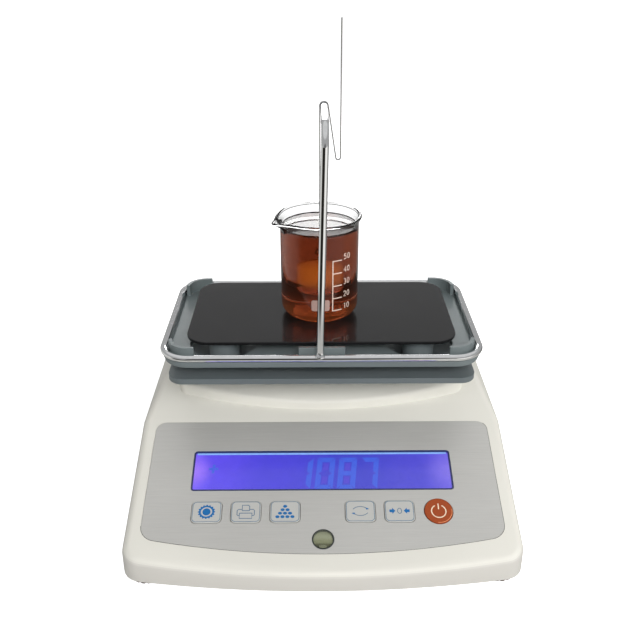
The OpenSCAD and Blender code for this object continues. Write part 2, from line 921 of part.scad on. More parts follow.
module tray_lip() {
    for (x = [-1, 1], y = [-1, 1])
        translate([x * (lip_w / 2 - lip_r), y * (lip_d / 2 - lip_r), 0])
            mirror([x < 0 ? 1 : 0, 0, 0])
                mirror([0, y < 0 ? 1 : 0, 0]) {
                    rotate_extrude(angle = 90, $fn = 64)
                        translate([lip_r - lip_t, 0])
                            square([lip_t, lip_h]);
                    translate([-3, lip_r - lip_t, 0])
                        cube([3, lip_t, lip_h]);
                }
}

module weighing_tray() {
    band = 1.8;
    step = 0.6;
    groove_h = 1.4;
    color(grey)
        difference() {
            translate([0, pan_y, tray_z]) {
                slab(tray_w - 2 * step, tray_d - 2 * step, tray_r - step, band);
                translate([0, 0, band])
                    slab(tray_w, tray_d, tray_r, tray_t - band);
                translate([0, 0, tray_t]) {
                    tray_lip();
                    for (s = [-1, 1])
                        translate([-tab_w / 2, s * (lip_d / 2 - lip_t / 2) - lip_t / 2, 0])
                            cube([tab_w, lip_t, lip_h]);
                }
            }
            translate([0, pan_y, tray_top - groove_h])
                difference() {
                    slab(lip_w + 2 * groove_w, lip_d + 2 * groove_w, lip_r + groove_w,
                        groove_h + over);
                    translate([0, 0, -over])
                        slab(lip_w, lip_d, lip_r, groove_h + 3 * over);
                }
            for (p = posts)
                translate([p[0], p[1], tray_z - over])
                    rod(tray_hole_d, tray_t + 2 * over);
            translate([0, pan_y, tray_z - over])
                rod(spigot_d + 2 * slip, spigot_h + slip + over);
        }
}

/* Hanger: wire ring, mast and arm */

module ring_frame() {
    straight_x = ring_mid_w / 2 - ring_r;
    straight_y = ring_mid_d / 2 - ring_r;
    color(steel)
        translate([0, pan_y, ring_z])
            union() {
                for (s = [-1, 1]) {
                    translate([-straight_x, s * ring_mid_d / 2, 0])
                        rotate([0, 90, 0])
                            rod(wire_d, 2 * straight_x);
                    translate([s * ring_mid_w / 2, straight_y, 0])
                        rotate([90, 0, 0])
                            rod(wire_d, 2 * straight_y);
                }
                for (k = [0:3])
                    translate([(k == 0 || k == 3 ? 1 : -1) * straight_x, (k < 2 ? 1 : -1) * straight_y, 0])
                        rotate([0, 0, 90 * k])
                            rotate_extrude(angle = 90, $fn = 64)
                                translate([ring_r, 0])
                                    circle(d = wire_d, $fn = 32);
            }
}

groove_far = arm_l;
groove_near = mast_bend_r + 1.5;

// Mast, bend and arm as one bent wire, built upright and then leaned. Its foot is coped to the
// ring's wire, with a weld bead round it.
module mast() {
    upright = mast_h - mast_bend_r;
    weld_z = wire_d / 2 - 0.8;
    weld_h = 1.8;
    color(steel)
        difference() {
            translate([mast_x, mast_y, ring_z])
                rotate([0, mast_lean, 0])
                    difference() {
                        union() {
                            translate([0, 0, weld_z])
                                rod(wire_d, upright - weld_z);
                            translate([0, 0, weld_z])
                                cylinder(h = weld_h, d1 = wire_d + lip_play, d2 = wire_d - 0.1, $fn = 48);
                            translate([0, mast_bend_r, upright])
                                rotate([0, 0, 90])
                                    rotate([90, 0, 0])
                                        rotate([0, 0, 90])
                                            rotate_extrude(angle = 90, $fn = 96)
                                                translate([mast_bend_r, 0])
                                                    circle(d = wire_d, $fn = 32);
                            translate([0, mast_bend_r, mast_h])
                                rotate([-90, 0, 0])
                                    round_ended_rod(wire_d, arm_l + arm_end - mast_bend_r);
                        }
                        for (y = [groove_far, groove_near])
                            translate([0, y, mast_h])
                                rotate([90, 0, 0])
                                    rotate_extrude($fn = 64)
                                        translate([loop_r, 0])
                                            circle(d = hook_d + 2 * clear, $fn = 24);
                    }
            translate([mast_x - wire_d, mast_y, ring_z])
                rotate([0, 90, 0])
                    rod(wire_d + 0.1, 2 * wire_d);
        }
}

/* Hook and sinker */

v_r = 1.3;
v_mid_x = arm_x + handle_x - v_r;
v_mid_z = arm_z - handle_down + v_r;

// Length of the wire's slanted leg, from its tangent on the loop to its tangent on the V's bend.
slant_dx = v_mid_x - arm_x;
slant_dz = arm_z - v_mid_z;
slant_mid = sqrt(slant_dx * slant_dx + slant_dz * slant_dz);
slant_l = sqrt(slant_mid * slant_mid - pow(loop_r + v_r, 2));
slant_angle = atan(slant_dx / slant_dz) - asin((loop_r + v_r) / slant_mid);

module wire_arc(r, from, to) {
    rotate([90, 0, 0])
        rotate([0, 0, from])
            rotate_extrude(angle = to - from, $fn = 64)
                translate([r, 0])
                    circle(d = hook_d, $fn = 24);
}

module wire_eye() {
    rotate_extrude($fn = 64)
        translate([eye_r, 0])
            circle(d = hook_d, $fn = 24);
}

// A slight swelling where a straight stretch of the wire meets a bend.
module wire_joint(x, z) {
    translate([x, 0, z])
        sphere(d = hook_d * 1.1, $fn = 32);
}

module hook() {
    slant_x = arm_x + loop_r * cos(slant_angle);
    slant_z = arm_z + loop_r * sin(slant_angle);
    color(steel)
        translate([0, pan_y, 0])
            union() {
                translate([leg_x, 0, link_z])
                    rotate([90, 0, 0])
                        wire_eye();
                translate([leg_x, 0, link_z + eye_r])
                    rod(hook_d, arm_z - link_z - eye_r);
                wire_joint(leg_x, arm_z);
                translate([arm_x, 0, arm_z])
                    wire_arc(loop_r, slant_angle, 180);
                wire_joint(slant_x, slant_z);
                translate([slant_x, 0, slant_z])
                    rotate([0, 180 - slant_angle, 0])
                        rod(hook_d, slant_l);
                wire_joint(v_mid_x - v_r * cos(slant_angle), v_mid_z - v_r * sin(slant_angle));
                translate([v_mid_x, 0, v_mid_z])
                    wire_arc(v_r, 180 + slant_angle, 360);
                wire_joint(v_mid_x + v_r, v_mid_z);
                translate([v_mid_x + v_r, 0, v_mid_z])
                    rod(hook_d, handle_up + handle_down - v_r);
            }
}

dome_h = 4;

module sinker() {
    r = sinker_d / 2;
    side_h = sinker_h - dome_h;
    fillet = 1.5;
    dome_r = (r * r + dome_h * dome_h) / (2 * dome_h);
    color([0.75, 0.82, 0.84, 0.6])
        translate([leg_x, pan_y, sinker_z])
            difference() {
                rotate_extrude($fn = 64)
                    polygon(concat(
                        [[0, 0]],
                        [for (k = [0:4]) let (g = -90 + 22.5 * k)
                            [r - fillet + fillet * cos(g), fillet + fillet * sin(g)]],
                        [for (k = [0:8]) let (x = r * (1 - k / 8))
                            [x, side_h + sqrt(dome_r * dome_r - x * x) - dome_r + dome_h]]));
                translate([0, 0, sinker_h - eye_stem])
                    rod(hook_d, eye_stem + over);
            }
}

eye_stem = 4;

module sinker_eye() {
    color(steel)
        translate([leg_x, pan_y, 0]) {
            translate([0, 0, eye_z])
                rotate([0, 90, 0])
                    wire_eye();
            translate([0, 0, sinker_z + sinker_h - eye_stem])
                rod(hook_d, eye_stem + hook_d / 2);
        }
}

/* Load cell and pan carrier */

cell_fixed_x = -(cell_l - cell_end) / 2;
cell_live_x = (cell_l - cell_end) / 2;
cell_bolt_d = 5;
cell_bolt_x = [cell_fixed_x - 7, cell_fixed_x + 7];
carrier_screw_d = 4;
carrier_screw_x = [cell_live_x - 7, cell_live_x + 7];
carrier_screw_l = 17;
stop_x = cell_l / 2 + 9;
stop_d = 8;

module load_cell() {
    flexure_x = cell_l / 2 - cell_end - 7;
    web = 1.4;
    flexure_d = cell_h - 2 * web;
    color([0.80, 0.81, 0.83])
        difference() {
            translate([-cell_l / 2, pan_y - cell_w / 2, cell_z])
                cube([cell_l, cell_w, cell_h]);
            for (x = [-flexure_x, flexure_x])
                translate([x, pan_y + cell_w / 2 + over, cell_z + cell_h / 2])
                    rotate([90, 0, 0])
                        rod(flexure_d, cell_w + 2 * over);
            translate([-flexure_x, pan_y - cell_w / 2 - over, cell_z + cell_h / 2 - 3])
                cube([2 * flexure_x, cell_w + 2 * over, 6]);
            for (x = cell_bolt_x)
                translate([x, pan_y, cell_z - over])
                    rod(cell_bolt_d, cell_h - 2);
            for (x = carrier_screw_x)
                translate([x, pan_y, cell_z - over])
                    rod(carrier_screw_d + 0.5, cell_h + 2 * over);
        }
}

module cell_spacer() {
    color([0.76, 0.77, 0.79])
        difference() {
            translate([cell_fixed_x, pan_y, base_top + mount_h])
                slab(cell_end, cell_w, 1, spacer_t);
            for (x = cell_bolt_x)
                translate([x, pan_y, base_top])
                    rod(cell_bolt_d, mount_h + spacer_t + over);
        }
}

module cell_bolts() {
    color(steel)
        for (x = cell_bolt_x)
            translate([x, pan_y, lift + cell_bolt_d])
                cap_screw(cell_bolt_d, cell_z - lift - cell_bolt_d + cell_h - 4);
}

module live_spacer() {
    color([0.76, 0.77, 0.79])
        difference() {
            translate([cell_live_x, pan_y, live_z])
                slab(cell_end, cell_w, 1, live_t);
            for (x = carrier_screw_x)
                translate([x, pan_y, live_z - over])
                    rod(carrier_screw_d, live_t + 2 * over);
        }
}

module carrier_arm() {
    left = -14;
    right = stop_x + 8;
    color([0.78, 0.79, 0.81])
        difference() {
            translate([(left + right) / 2, pan_y, arm_plate_z])
                slab(right - left, cell_w, 6, arm_plate_t);
            for (x = carrier_screw_x)
                translate([x, pan_y, arm_plate_z - over])
                    rod(carrier_screw_d, arm_plate_t + 2 * over);
            translate([0, pan_y, arm_plate_z - over])
                rod(spindle_tail_d, arm_plate_t + 2 * over);
        }
}

module carrier_screws() {
    color(steel)
        for (x = carrier_screw_x)
            translate([x, pan_y, spindle_z])
                rotate([180, 0, 0])
                    cap_screw(carrier_screw_d, carrier_screw_l);
}

spindle_tail_d = 6;

module pan_spindle() {
    nut_t = 3;
    color([0.80, 0.81, 0.83])
        translate([0, pan_y, 0]) {
            translate([0, 0, spindle_z])
                rod(spindle_d, spider_z - spindle_z);
            translate([0, 0, arm_plate_z - nut_t])
                rod(spindle_tail_d, nut_t + arm_plate_t);
            translate([0, 0, arm_plate_z - nut_t])
                cylinder(h = nut_t, d = 1.8 * spindle_tail_d, $fn = 6);
        }
}

module pan_spider() {
    hub_d = 26;
    arm_w = 9;
    color([0.30, 0.31, 0.32])
        translate([0, pan_y, spider_z]) {
            difference() {
                union() {
                    rod(hub_d, spider_t);
                    for (a = [0, 90]) {
                        rotate([0, 0, a])
                            slab(2 * spider_reach, arm_w, arm_w / 2 - 0.1, spider_t - 1);
                        for (s = [-1, 1])
                            rotate([0, 0, a])
                                translate([s * (spider_reach - arm_w / 2), 0, 0])
                                    rod(arm_w, spider_t);
                    }
                }
            }
            translate([0, 0, spider_t])
                rod(spigot_d, spigot_h);
        }
}

module overload_stop() {
    top = arm_plate_z - stop_gap;
    color(steel)
        translate([stop_x, pan_y, lift + 1.5]) {
            rod(stop_d, top - lift - 1.5);
            translate([0, 0, base_t + mount_h - 1.5])
                cylinder(h = 4, d = 1.8 * stop_d, $fn = 6);
        }
}

/* Main board and sockets */

main_w = 84;
main_d = 46;
main_x = 14;
main_y = rear_y - wall - clear - main_d / 2;
board_up = 6;
board_z = base_top + board_up;
board_hole_in = 5;
board_posts = [for (x = [-1, 1], y = [-1, 1])
    [main_x + x * (main_w / 2 - board_hole_in), main_y + y * (main_d / 2 - board_hole_in)]];
port_up = 6.5;
port_z = board_z + board_t + port_up;

module main_board() {
    color(pcb_green)
        translate([main_x, main_y, board_z]) {
            slab(main_w, main_d, 1.5, board_t);
            translate([-14, -4, board_t])
                slab(14, 14, 0.5, 1.6);
            translate([10, -8, board_t])
                slab(20, 16, 1, 4);
            for (x = [26, 35])
                translate([x, -12, board_t])
                    rod(7, 10);
            translate([-32, -10, board_t])
                slab(6, 18, 0.5, 6);
        }
}

module dc_jack() {
    color([0.12, 0.12, 0.13])
        difference() {
            union() {
                translate([jack_x - 5, rear_y - wall - clear - 13, board_z + board_t])
                    cube([10, 13, 11]);
                translate([jack_x, rear_y - wall - clear, port_z])
                    rotate([-90, 0, 0])
                        rod(jack_d, wall + clear - 0.3);
            }
            translate([jack_x, rear_y - 11, port_z])
                rotate([-90, 0, 0])
                    rod(5.5, 12);
        }
}

shell_w = 31;
shell_l = 12;
shell_h = 12.4;

module serial_port() {
    color([0.70, 0.71, 0.73])
        difference() {
            union() {
                translate([serial_x - shell_w / 2, rear_y - wall - clear - shell_l, board_z + board_t])
                    cube([shell_w, shell_l, shell_h]);
                translate([serial_x, rear_y - 0.4, port_z])
                    rotate([90, 0, 0])
                        slab(serial_w - 2 * clear, serial_h - 2 * clear, 1.8, wall + clear);
            }
            translate([serial_x, rear_y, port_z])
                rotate([90, 0, 0])
                    slab(serial_w - 2 * clear - 2, serial_h - 2 * clear - 2, 1, 6);
        }
}

/* Levelling feet */

insert_l = 9;
insert_d = stud_d + 3;
stud_play = 0.05;

module foot_inserts() {
    color([0.80, 0.65, 0.30])
        for (p = feet)
            translate([p[0], p[1], lift])
                difference() {
                    rod(insert_d, insert_l);
                    translate([0, 0, -over])
                        rod(stud_d + 2 * stud_play, insert_l + 2 * over);
                }
}

module foot(i) {
    notches = 20;
    notch_d = 1.6;
    color([0.20, 0.13, 0.11])
        translate([feet[i][0], feet[i][1], pad_t])
            difference() {
                union() {
                    rod(foot_d, foot_t);
                    rod(stud_d, foot_t + stud_l);
                }
                for (k = [0:notches - 1])
                    rotate([0, 0, 360 * k / notches])
                        translate([foot_d / 2 + notch_d * 0.2, 0, -over])
                            rod(notch_d, foot_t + 2 * over);
            }
}

module pad(i) {
    color([0.10, 0.10, 0.10])
        translate([feet[i][0], feet[i][1], 0])
            rod(foot_d - 4, pad_t);
}

module foot_front_left() {
    foot(0);
}

module foot_front_right() {
    foot(1);
}

module foot_rear_left() {
    foot(2);
}

module foot_rear_right() {
    foot(3);
}

module pad_front_left() {
    pad(0);
}

module pad_front_right() {
    pad(1);
}

module pad_rear_left() {
    pad(2);
}

module pad_rear_right() {
    pad(3);
}

top_housing();
base_plate();
housing_screws();
panel_overlay();
display_lens();
display_module();
display_screws();
key_board();
key_switches();
key_settings();
key_print();
key_enter();
key_mode();
key_zero();
key_power();
level_cup();
level_vial();
post_plate();
plate_screws();
post_front_left();
post_front_right();
post_rear_left();
post_rear_right();
post_screws();
bridge_plate();
beaker();
weighing_tray();
ring_frame();
mast();
hook();
sinker();
sinker_eye();
load_cell();
cell_spacer();
cell_bolts();
live_spacer();
carrier_arm();
carrier_screws();
pan_spindle();
pan_spider();
overload_stop();
main_board();
dc_jack();
serial_port();
foot_front_left();
foot_front_right();
foot_rear_left();
foot_rear_right();
pad_front_left();
pad_front_right();
pad_rear_left();
pad_rear_right();
foot_inserts();
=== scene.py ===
"""The looks of the benchtop density meter: a precision balance whose tray carries a wire mast, a
hook and a glass sinker, over a fixed bridge plate with a beaker of amber liquid."""

import json
import math

import bmesh
import bpy
from mathutils import Matrix, Vector

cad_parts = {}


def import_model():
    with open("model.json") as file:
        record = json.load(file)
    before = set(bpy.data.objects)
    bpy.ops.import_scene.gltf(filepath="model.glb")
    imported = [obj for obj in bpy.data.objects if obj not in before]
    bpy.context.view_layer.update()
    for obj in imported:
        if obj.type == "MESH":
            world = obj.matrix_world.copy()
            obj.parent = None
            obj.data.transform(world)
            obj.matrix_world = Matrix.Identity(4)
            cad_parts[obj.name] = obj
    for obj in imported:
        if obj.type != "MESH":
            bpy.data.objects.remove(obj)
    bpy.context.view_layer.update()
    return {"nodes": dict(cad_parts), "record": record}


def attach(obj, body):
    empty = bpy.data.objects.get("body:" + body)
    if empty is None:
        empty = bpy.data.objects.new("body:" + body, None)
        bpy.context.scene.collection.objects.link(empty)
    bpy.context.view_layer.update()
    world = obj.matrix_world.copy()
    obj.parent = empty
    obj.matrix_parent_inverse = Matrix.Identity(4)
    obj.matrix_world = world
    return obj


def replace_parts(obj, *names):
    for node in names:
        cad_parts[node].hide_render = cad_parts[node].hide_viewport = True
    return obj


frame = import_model()
MM = 0.001

# Sizes that the CAD source fixes, in millimetres.
SLOPE = math.radians(20)
FRONT_Y, FRONT_Z = -113.0, 14.8
REAR_Y = 113.0
PAN_Y = 20.0
RING_Z, RING_W, RING_D, RING_R = 99.0, 180.0, 107.0, 15.5
BRIDGE_Z, BRIDGE_T, BRIDGE_W, BRIDGE_D, BRIDGE_R = 102.0, 2.0, 155.0, 86.5, 13.5
LEAN = math.radians(1.2)
MAST_X, MAST_Y, MAST_H, MAST_BEND = -1.1, -33.5, 128.0, 11.0
ARM_X = MAST_X + MAST_H * math.sin(LEAN)
ARM_Z = RING_Z + MAST_H * math.cos(LEAN)
WIRE_R = 2.0
HOOK_R, LOOP_R, VEE_R, LINK_R = 0.4, 2.3, 1.3, 1.8
LINK_Z, EYE_Z = 143.95, 141.3
LEG_X = ARM_X - LOOP_R
SINKER_Z, SINKER_R, SINKER_H, SINKER_DOME, SINKER_EDGE = 119.1, 10.0, 20.0, 4.0, 1.5
BEAKER_X, BEAKER_Z, BEAKER_R, BEAKER_H = -0.9, 104.0, 23.0, 61.0
WALL, FOOT_R = 1.5, 7.0
LIQUID_TOP = 55.0
LENS_W, LENS_H, LENS_R, LENS_V = 146.6, 26.5, 1.8, 64.9
KEY_V, KEY_TOP = 37.8, 0.7
KEYS = {"key_settings": -63.2, "key_print": -41.85, "key_enter": -20.5, "key_mode": 20.5,
    "key_zero": 41.85, "key_power": 63.2}
LEVEL_V = 21.2
JACK_X, SERIAL_X, PORT_Z = 44.0, 8.0, 21.8


# ---------------------------------------------------------------- points and colours

def srgb(r, g, b):
    """Linear colour of an sRGB triple in 0..255."""
    def lin(c):
        c /= 255.0
        return c / 12.92 if c <= 0.04045 else ((c + 0.055) / 1.055) ** 2.4
    return (lin(r), lin(g), lin(b), 1.0)


def scaled(color, by):
    """The colour made darker or lighter, no lighter than white."""
    return tuple(min(1.0, c * by) for c in color[:3]) + (1.0,)


def smoothstep(a, b, x):
    t = min(1.0, max(0.0, (x - a) / (b - a)))
    return t * t * (3 - 2 * t)


def turns(steps):
    """The angles that cut a full turn into equal steps."""
    return [2 * math.pi * k / steps for k in range(steps)]


def arc(cx, cy, r, a0, a1, steps=24, ry=None):
    """Points from a0 to a1 degrees on a circle, or on an ellipse of radii r and ry."""
    ry = r if ry is None else ry
    angles = [math.radians(a0 + (a1 - a0) * k / steps) for k in range(steps + 1)]
    return [(cx + r * math.cos(a), cy + ry * math.sin(a)) for a in angles]


def run(p, q, parts):
    """The points that cut the way from p to q into equal parts, q included and p not."""
    return [tuple(a + (b - a) * k / parts for a, b in zip(p, q)) for k in range(1, parts + 1)]


def finer(outline, cuts):
    """A closed outline with more points. cuts gives the number of parts of an edge."""
    pts = []
    for p, q in zip(outline, outline[1:] + outline[:1]):
        pts += [p] + run(p, q, cuts(p, q))[:-1]
    return pts


def outline_rounded(w, h, r, steps=8):
    """Points of a rounded rectangle, in millimetres, anticlockwise."""
    pts = []
    for cx, cy, a0 in ((1, 1, 0), (-1, 1, 90), (-1, -1, 180), (1, -1, 270)):
        pts += arc(cx * (w / 2 - r), cy * (h / 2 - r), r, a0, a0 + 90, steps)
    return pts


def outline_oval(w, h, steps, x=0.0, y=0.0):
    return arc(x, y, w / 2, 0, 360, steps, h / 2)[:-1]


def outline_box(x0, y0, x1, y1):
    return [(x0, y0), (x1, y0), (x1, y1), (x0, y1)]


def stroke(points, width):
    """The left and the right side of a line of that width."""
    left, right = [], []
    for i, (x, y) in enumerate(points):
        a, b = points[max(i - 1, 0)], points[min(i + 1, len(points) - 1)]
        dx, dy = b[0] - a[0], b[1] - a[1]
        length = math.hypot(dx, dy) or 1.0
        nx, ny = -dy / length * width / 2, dx / length * width / 2
        left.append((x + nx, y + ny))
        right.append((x - nx, y - ny))
    return left, right


def on_slope(x, v, h):
    """The point, in metres, of x across, v up the slope and h above it."""
    return Vector((x * MM,
        (FRONT_Y + v * math.cos(SLOPE) - h * math.sin(SLOPE)) * MM,
        (FRONT_Z + v * math.sin(SLOPE) + h * math.cos(SLOPE)) * MM))


def slope_at(x, v):
    """The frame of a place on the slope: x across, y up the slope, z off it."""
    return (Matrix.Translation(on_slope(0, 0, 0)) @ Matrix.Rotation(SLOPE, 4, 'X')
        @ Matrix.Translation((x * MM, v * MM, 0)))


# ---------------------------------------------------------------- pieces

def in_scene(name, data):
    obj = bpy.data.objects.new(name, data)
    bpy.context.scene.collection.objects.link(obj)
    return obj


def mesh_from(bm, name):
    mesh = bpy.data.meshes.new(name)
    bm.to_mesh(mesh)
    bm.free()
    return mesh


def new_piece(name, bm, body, slot, material, smooth=True, angle=35, outward=True):
    """The mesh as a piece that rides on body. Edges above angle, in degrees, stay sharp."""
    if outward:
        bmesh.ops.recalc_face_normals(bm, faces=bm.faces)
    bm.normal_update()
    for face in bm.faces:
        face.smooth = smooth
    if smooth:
        limit = math.pi if angle is None else math.radians(angle)
        for edge in bm.edges:
            edge.smooth = len(edge.link_faces) == 2 and edge.calc_face_angle(math.pi) < limit
    obj = in_scene(name, mesh_from(bm, name))
    obj.data.materials.clear()
    obj.data.materials.append(material)
    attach(obj, body)
    return obj


def round_edges(obj, width, segments, angle):
    """Round the edges above angle, in degrees; width is in millimetres."""
    mod = obj.modifiers.new("edges", 'BEVEL')
    mod.width = width * MM
    mod.segments = segments
    mod.limit_method = 'ANGLE'
    mod.angle_limit = math.radians(angle)
    mod.harden_normals = True


def tube(name, points, radius, body, slot, material, sides, closed=False):
    """A round wire swept along points, in millimetres, with rounded ends."""
    pts = [Vector(p) * MM for p in points]
    r = radius * MM
    before = pts[-1:] + pts[:-1] if closed else pts[:1] + pts[:-1]
    after = pts[1:] + pts[:1] if closed else pts[1:] + pts[-1:]
    tangents = [(b - a).normalized() for a, b in zip(before, after)]
    side = Vector((0, 0, 1)) if abs(tangents[0].z) < 0.9 else Vector((0, 1, 0))
    stations = []
    for point, along in zip(pts, tangents):
        side = (side - along * side.dot(along)).normalized()
        stations.append((point, side, along.cross(side), r))
    if not closed:
        def cap(station, along, angles):
            point, a, b, _ = station
            return [(point + along * r * math.sin(t), a, b, r * math.cos(t)) for t in angles]
        lifts = [math.radians(90 * k / 5.5) for k in range(1, 6)]
        stations = (cap(stations[0], -tangents[0], lifts[::-1]) + stations
            + cap(stations[-1], tangents[-1], lifts))
    bm = bmesh.new()
    rings = [[bm.verts.new(centre + (a * math.cos(t) + b * math.sin(t)) * rad)
        for t in turns(sides)] for centre, a, b, rad in stations]
    if not closed:
        bm.faces.new(rings[0][::-1])
        bm.faces.new(rings[-1])
    for p, q in zip(rings, rings[1:] + rings[:1] if closed else rings[1:]):
        for k in range(sides):
            bm.faces.new((p[k - 1], p[k], q[k], q[k - 1]))
    return new_piece(name, bm, body, slot, material, angle=60)


def lathe(profile, name, body, slot, material, centre=(0, 0), steps=72, matrix=None, angle=35,
        warp=None):
    """A closed profile of (radius, height) in millimetres, turned about a vertical axis. warp
    changes the radius and height by the angle, off the axis."""
    bm = bmesh.new()
    rings = []
    for r, z in profile:
        ring = []
        for a in turns(steps) if r else [0.0]:
            rr, zz = warp(r, z, a) if warp and r else (r, z)
            ring.append(bm.verts.new(((centre[0] + rr * math.cos(a)) * MM,
                (centre[1] + rr * math.sin(a)) * MM, zz * MM)))
        rings.append(ring)
    for p, q in zip(rings, rings[1:]):
        for k in range(steps):
            m = k + 1
            loop = (p[k % len(p)], p[m % len(p)], q[m % len(q)], q[k % len(q)])
            loop = list(dict.fromkeys(loop))
            if len(loop) > 2:
                bm.faces.new(loop)
    if matrix is not None:
        bmesh.ops.transform(bm, matrix=matrix, verts=bm.verts)
    return new_piece(name, bm, body, slot, material, angle=angle)


class Plates:
    """Flat plates, such as printed shapes a few hundredths of a millimetre thick."""

    def __init__(self, matrix, height, thickness=0.03):
        self.bm = bmesh.new()
        self.matrix = matrix
        self.span = (height, height + thickness)

    def plate(self, outer, hole=None, span=None):
        """One plate, between the heights in span. A hole has as many points as the outline."""
        z0, z1 = span or self.span

        def verts(pts, z):
            return [self.bm.verts.new(self.matrix @ Vector((x * MM, y * MM, z * MM)))
                for x, y in pts]

        add = self.bm.faces.new
        lo, hi = verts(outer, z0), verts(outer, z1)
        for k in range(len(outer)):
            add((lo[k - 1], lo[k], hi[k], hi[k - 1]))
        if hole is None:
            add(hi)
            add(lo[::-1])
            return
        ilo, ihi = verts(hole, z0), verts(hole, z1)
        for k in range(len(outer)):
            add((ihi[k - 1], ihi[k], ilo[k], ilo[k - 1]))
            add((hi[k - 1], hi[k], ihi[k], ihi[k - 1]))
            add((lo[k], lo[k - 1], ilo[k - 1], ilo[k]))

    def line(self, points, width):
        left, right = stroke(points, width)
        self.plate(right + left[::-1])

    def done(self, name, body, slot, material, smooth=False, angle=None):
        return new_piece(name, self.bm, body, slot, material, smooth, angle)


# ---------------------------------------------------------------- materials

class Nodes:
    """A short way to write the nodes of a material, or of the world as owner."""

    SOCKETS = {"color": "Base Color", "metallic": "Metallic", "rough": "Roughness", "ior": "IOR",
        "alpha": "Alpha", "transmission": "Transmission Weight",
        "specular": "Specular IOR Level", "tint": "Specular Tint", "emit": "Emission Color",
        "emit_strength": "Emission Strength", "normal": "Normal"}

    def __init__(self, name, owner=None):
        self.mat = bpy.data.materials.new(name) if owner is None else owner
        self.mat.use_nodes = True
        self.nodes = self.mat.node_tree.nodes
        self.bsdf = self.nodes.get("Principled BSDF")
        self.out = self.nodes.get("Material Output")
        self.place = None

    def put(self, socket, value):
        """Give a socket a plain value, or link an output to it."""
        if isinstance(value, bpy.types.NodeSocket):
            self.mat.node_tree.links.new(value, socket)
        else:
            socket.default_value = value

    def node(self, kind, inputs=None, output=0, **settings):
        """One output of a new node. inputs holds values or outputs by socket name or number."""
        made = self.nodes.new(kind)
        for key, value in settings.items():
            setattr(made, key, value)
        for key, value in (inputs or {}).items():
            self.put(made.inputs[key], value)
        return made.outputs[output]

    def outputs(self, kind):
        return self.nodes.new(kind).outputs

    def set(self, **values):
        for key, value in values.items():
            self.put(self.bsdf.inputs[self.SOCKETS[key]], value)

    def coord(self, scale=(1, 1, 1), offset=(0, 0, 0)):
        if self.place is None:
            self.place = self.outputs("ShaderNodeTexCoord")["Object"]
        return self.node("ShaderNodeMapping", {"Vector": self.place, "Scale": scale,
            "Location": offset})

    def noise(self, scale, detail=4.0, rough=0.5, vector=None):
        return self.node("ShaderNodeTexNoise", {"Scale": scale, "Detail": detail,
            "Roughness": rough, "Vector": self.coord() if vector is None else vector}, "Fac")

    def ramp(self, fac, stops, smooth=False):
        color = self.node("ShaderNodeValToRGB", {"Fac": fac}, "Color")
        made = color.node.color_ramp
        made.interpolation = 'EASE' if smooth else 'LINEAR'
        while len(made.elements) < len(stops):
            made.elements.new(0.5)
        for element, (pos, value) in zip(made.elements, stops):
            element.position = pos
            element.color = (*value[:3], 1.0)
        return color

    def range(self, value, lo, hi, a=0.0, b=1.0, smooth=False):
        return self.node("ShaderNodeMapRange", {"Value": value, "From Min": lo, "From Max": hi,
            "To Min": a, "To Max": b}, interpolation_type='SMOOTHSTEP' if smooth else 'LINEAR')

    def below(self, value, lo, hi):
        """1 below lo, 0 above hi, and soft between them."""
        return self.range(value, lo, hi, 1.0, 0.0, True)

    def mix(self, fac, a, b, blend='MIX'):
        return self.node("ShaderNodeMix", {0: fac, 6: a, 7: b}, 2, data_type='RGBA',
            blend_type=blend)

    def mix_shader(self, fac, a, b):
        return self.node("ShaderNodeMixShader", {0: fac, 1: a, 2: b})

    def math(self, operation, a, b=0.0):
        return self.node("ShaderNodeMath", {0: a, 1: b}, operation=operation)

    def times(self, a, b):
        return self.math('MULTIPLY', a, b)

    def distance(self, x, y):
        """Distance from the origin of two coordinates."""
        return self.math('SQRT', self.math('ADD', self.times(x, x), self.times(y, y)))

    def split(self, vector):
        return self.node("ShaderNodeSeparateXYZ", {0: vector}).node.outputs

    def bump(self, height, distance, strength):
        return self.node("ShaderNodeBump", {"Strength": strength, "Distance": distance,
            "Height": height})

    def absorption(self, color, density):
        return self.node("ShaderNodeVolumeAbsorption", {"Color": color, "Density": density})

    def emission(self, color, strength=1.0):
        return self.node("ShaderNodeEmission", {"Color": color, "Strength": strength})

    def surface(self, shader):
        self.put(self.out.inputs["Surface"], shader)

    def volume(self, shader):
        self.put(self.out.inputs["Volume"], shader)


WHITE = (1.0, 1.0, 1.0, 1.0)
# Painted shade on the low upright faces of a plastic: how level a face is, and how high in metres,
# where the painted shade ends.
PAINTED_SHADE_LEVEL, PAINTED_SHADE_TOP = (0.25, 0.70), (0.040, 0.046)


def plastic(name, color, rough=0.45, grain=0.02, spread=0.02, grain_scale=2600.0, painted_shade=None):
    """Moulded or coated surface: fine grain in the relief, slow drift in colour and gloss.
    painted_shade is the colour of painted shade on the low upright faces. Both colours are sRGB
    triples."""
    n = Nodes(name)
    color = srgb(*color)
    tone = n.ramp(n.noise(14.0, 3.0), [(0.3, scaled(color, 1 - 2 * spread)),
        (0.7, scaled(color, 1 + 2 * spread))])
    # Painted shade: low upright faces take the darker colour.
    if painted_shade:
        face = n.outputs("ShaderNodeNewGeometry")
        upright = n.below(n.split(face["True Normal"])["Z"], *PAINTED_SHADE_LEVEL)
        low = n.below(n.split(face["Position"])["Z"], *PAINTED_SHADE_TOP)
        tone = n.mix(n.times(upright, low), tone, srgb(*painted_shade))
    n.set(color=tone, rough=rough)
    n.set(rough=n.range(n.noise(90.0, 3.0), 0.3, 0.7, rough - 0.05, rough + 0.05))
    if grain:
        n.set(normal=n.bump(n.noise(grain_scale, 2.0), 0.0001, grain))
    return n.mat


